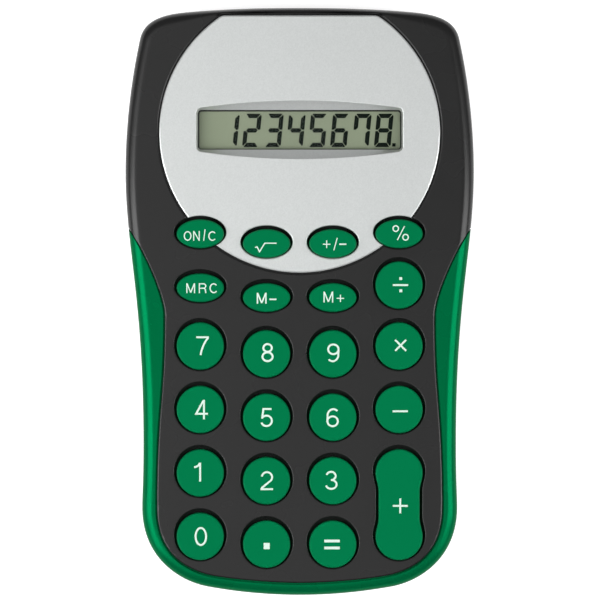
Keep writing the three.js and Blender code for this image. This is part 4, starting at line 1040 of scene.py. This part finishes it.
across = 1 - np.cos(np.linspace(0, np.pi / 2, 25))
grip_bevel = 0.1
parting = np.full(len(widths), parting_z)
rows = [(np.minimum(side_draft + parting_bevel, widths), parting),
        (np.minimum(side_draft, widths), parting + parting_bevel)]
inner = np.maximum(widths - grip_bevel, 0)
rows += [(inner * share, grip_height(inner * share)) for share in across]
tongue_z = grip_height(inner) - tongue_drop
rows += [(widths, grip_height(inner) - grip_bevel), (widths, tongue_z), (tongue, tongue_z),
         (tongue, tongue_z - tongue_height), (widths, tongue_z - tongue_height), (widths, parting),
         rows[0]]
grip_points = np.array([
    np.column_stack([grip_outer - inset[:, None] * grip_normals, height]) for inset, height in rows
])
# Green pearl lacquer on ABS: smoother than the keys, and its mica flakes reflect in the lacquer's
# own green, so the round edge holds a clear streak that stays green
grip_abs = moulded("pearl_lacquered_green_abs", "#01693d", "#01653a", 0.27, 1.4, 0.003, gloss=0.04,
                   sheen="#10c8b4", pearl=0.27)
piece("side_grip_moulding", [sheet(grip_points, closed=False)], grip_abs, replaces=["side_grip"])

# Case screws
# Zinc-plated self-tapping screws with pan heads and crossed recesses, deep in the counterbores.
# They are driven from the back and clamp the grip between the two cases.
head_low_z, head_radius, head_height, dome_drop = 1.9, 1.9, 1.3, 0.45
slot_half, slot_reach, slot_depth = 0.34, 1.25, 0.65
shank_radius, shank_end_z, point_z = 0.95, 7.4, 8.2


def screw_head(x, y, spokes=96, hoops=60):
    """A pan head seen from below: over a disc of rays and hoops the height is a shallow dome that
    turns down steeply at the rim, less a cross of two smooth-sided slots."""
    share = np.linspace(0, 1, hoops)[:, None]
    turn = 2 * np.pi * np.arange(spokes) / spokes
    across_x, across_y = head_radius * share * np.cos(turn), head_radius * share * np.sin(turn)
    dome = dome_drop * (1 - np.sqrt(np.clip(1 - share**4, 0, 1)))
    slots = []
    for narrow, long in ((across_x, across_y), (across_y, across_x)):
        side = np.clip((slot_half - np.abs(narrow)) / 0.08, 0, 1)
        end = np.clip((slot_reach - np.abs(long)) / 0.35, 0, 1)
        slots.append(side * end)
    height = head_low_z + dome + slot_depth * np.maximum(*slots)
    head = np.stack([x + across_x, y + across_y, height], axis=-1)
    seat_z = head_low_z + head_height
    shank = turned(x, y, [(head_radius, head_low_z + dome_drop), (head_radius, seat_z),
                          (shank_radius, seat_z), (shank_radius, shank_end_z), (0, point_z)], spokes)
    return [sheet(head), shank]


# Bright zinc plate: bluish grey, satin, faintly streaked
zinc = drawn_metal("bright_zinc_plate", "#b4b8bc", 0.32, 0.25)
for name, (x, y) in zip(screw_names, screw_places):
    piece(f"{name}_pan_head", screw_head(x, y), zinc, replaces=[name])

# Floor, lights and camera
# A plain white sweep, one wide soft light overhead, a tall narrow box at each side for the streaks
# along the case's edges, a weaker strip below each for the slanted ones, and a long lens above.
paper, tree, _ = new_material("white_paper_sweep")
ray = add(tree, "LightPath", {}).outputs
seen = add(tree, "Math", {0: ray["Is Camera Ray"], 1: ray["Is Glossy Ray"]}, operation="MAXIMUM")
seen = add(tree, "Math", {0: seen, 1: ray["Is Transmission Ray"]}, operation="MAXIMUM")
plain = add(tree, "BsdfDiffuse", {"Color": linear("#d8d8d8")})
glow = add(tree, "Emission", {"Color": linear("#ffffff"), "Strength": 0.8})
both = add(tree, "AddShader", {0: plain, 1: glow})
add(tree, "OutputMaterial", {"Surface": add(tree, "MixShader", {0: seen, 1: plain, 2: both})})
floor_half, floor_drop = 900, 0.02
sweep = flat([rounded_box(0, 0, floor_half, floor_half, 50)], -floor_drop)
linked("paper_sweep", joined("paper_sweep", [sweep], paper))

world = bpy.data.worlds.new("studio")
world.use_nodes = True
background = world.node_tree.nodes["Background"].inputs
background["Color"].default_value = linear("#ffffff")
background["Strength"].default_value = 0.2
bpy.context.scene.world = world


def soft_light(name, place, width, height, power, fills=True):
    """A rectangular light at a place in millimetres, turned to face the object's middle. One that
    doesn't fill is a strip that shows only in reflections."""
    lamp = bpy.data.lights.new(name, "AREA")
    lamp.shape = "RECTANGLE"
    lamp.size, lamp.size_y = width * MM, height * MM
    lamp.energy = power
    made = linked(name, lamp)
    made.location = np.array(place) * MM
    made.rotation_euler = (-made.location).to_track_quat("-Z", "Y").to_euler()
    made.visible_diffuse = fills


soft_light("overhead_box", (-265, -110, 610), 760, 700, 1.63)
soft_light("left_box", (-380, -50, 340), 120, 480, 1.46)
soft_light("right_box", (390, -50, 340), 120, 480, 1.51)
soft_light("left_low_strip", (-340, -200, 340), 130, 480, 1.1, fills=False)
soft_light("right_low_strip", (350, -200, 340), 130, 480, 0.6, fills=False)

camera = bpy.data.cameras.new("long_lens")
camera.sensor_width = 36
camera_place = (0.06, 0.27, 1600)
frame_width = 117.37
camera.lens = camera.sensor_width * (camera_place[2] - face_z) / frame_width
camera.clip_start, camera.clip_end = 0.1, 10
camera_object = linked("long_lens", camera)
camera_object.location = np.array(camera_place) * MM
bpy.context.scene.camera = camera_object
bpy.context.scene.view_settings.view_transform = "Standard"
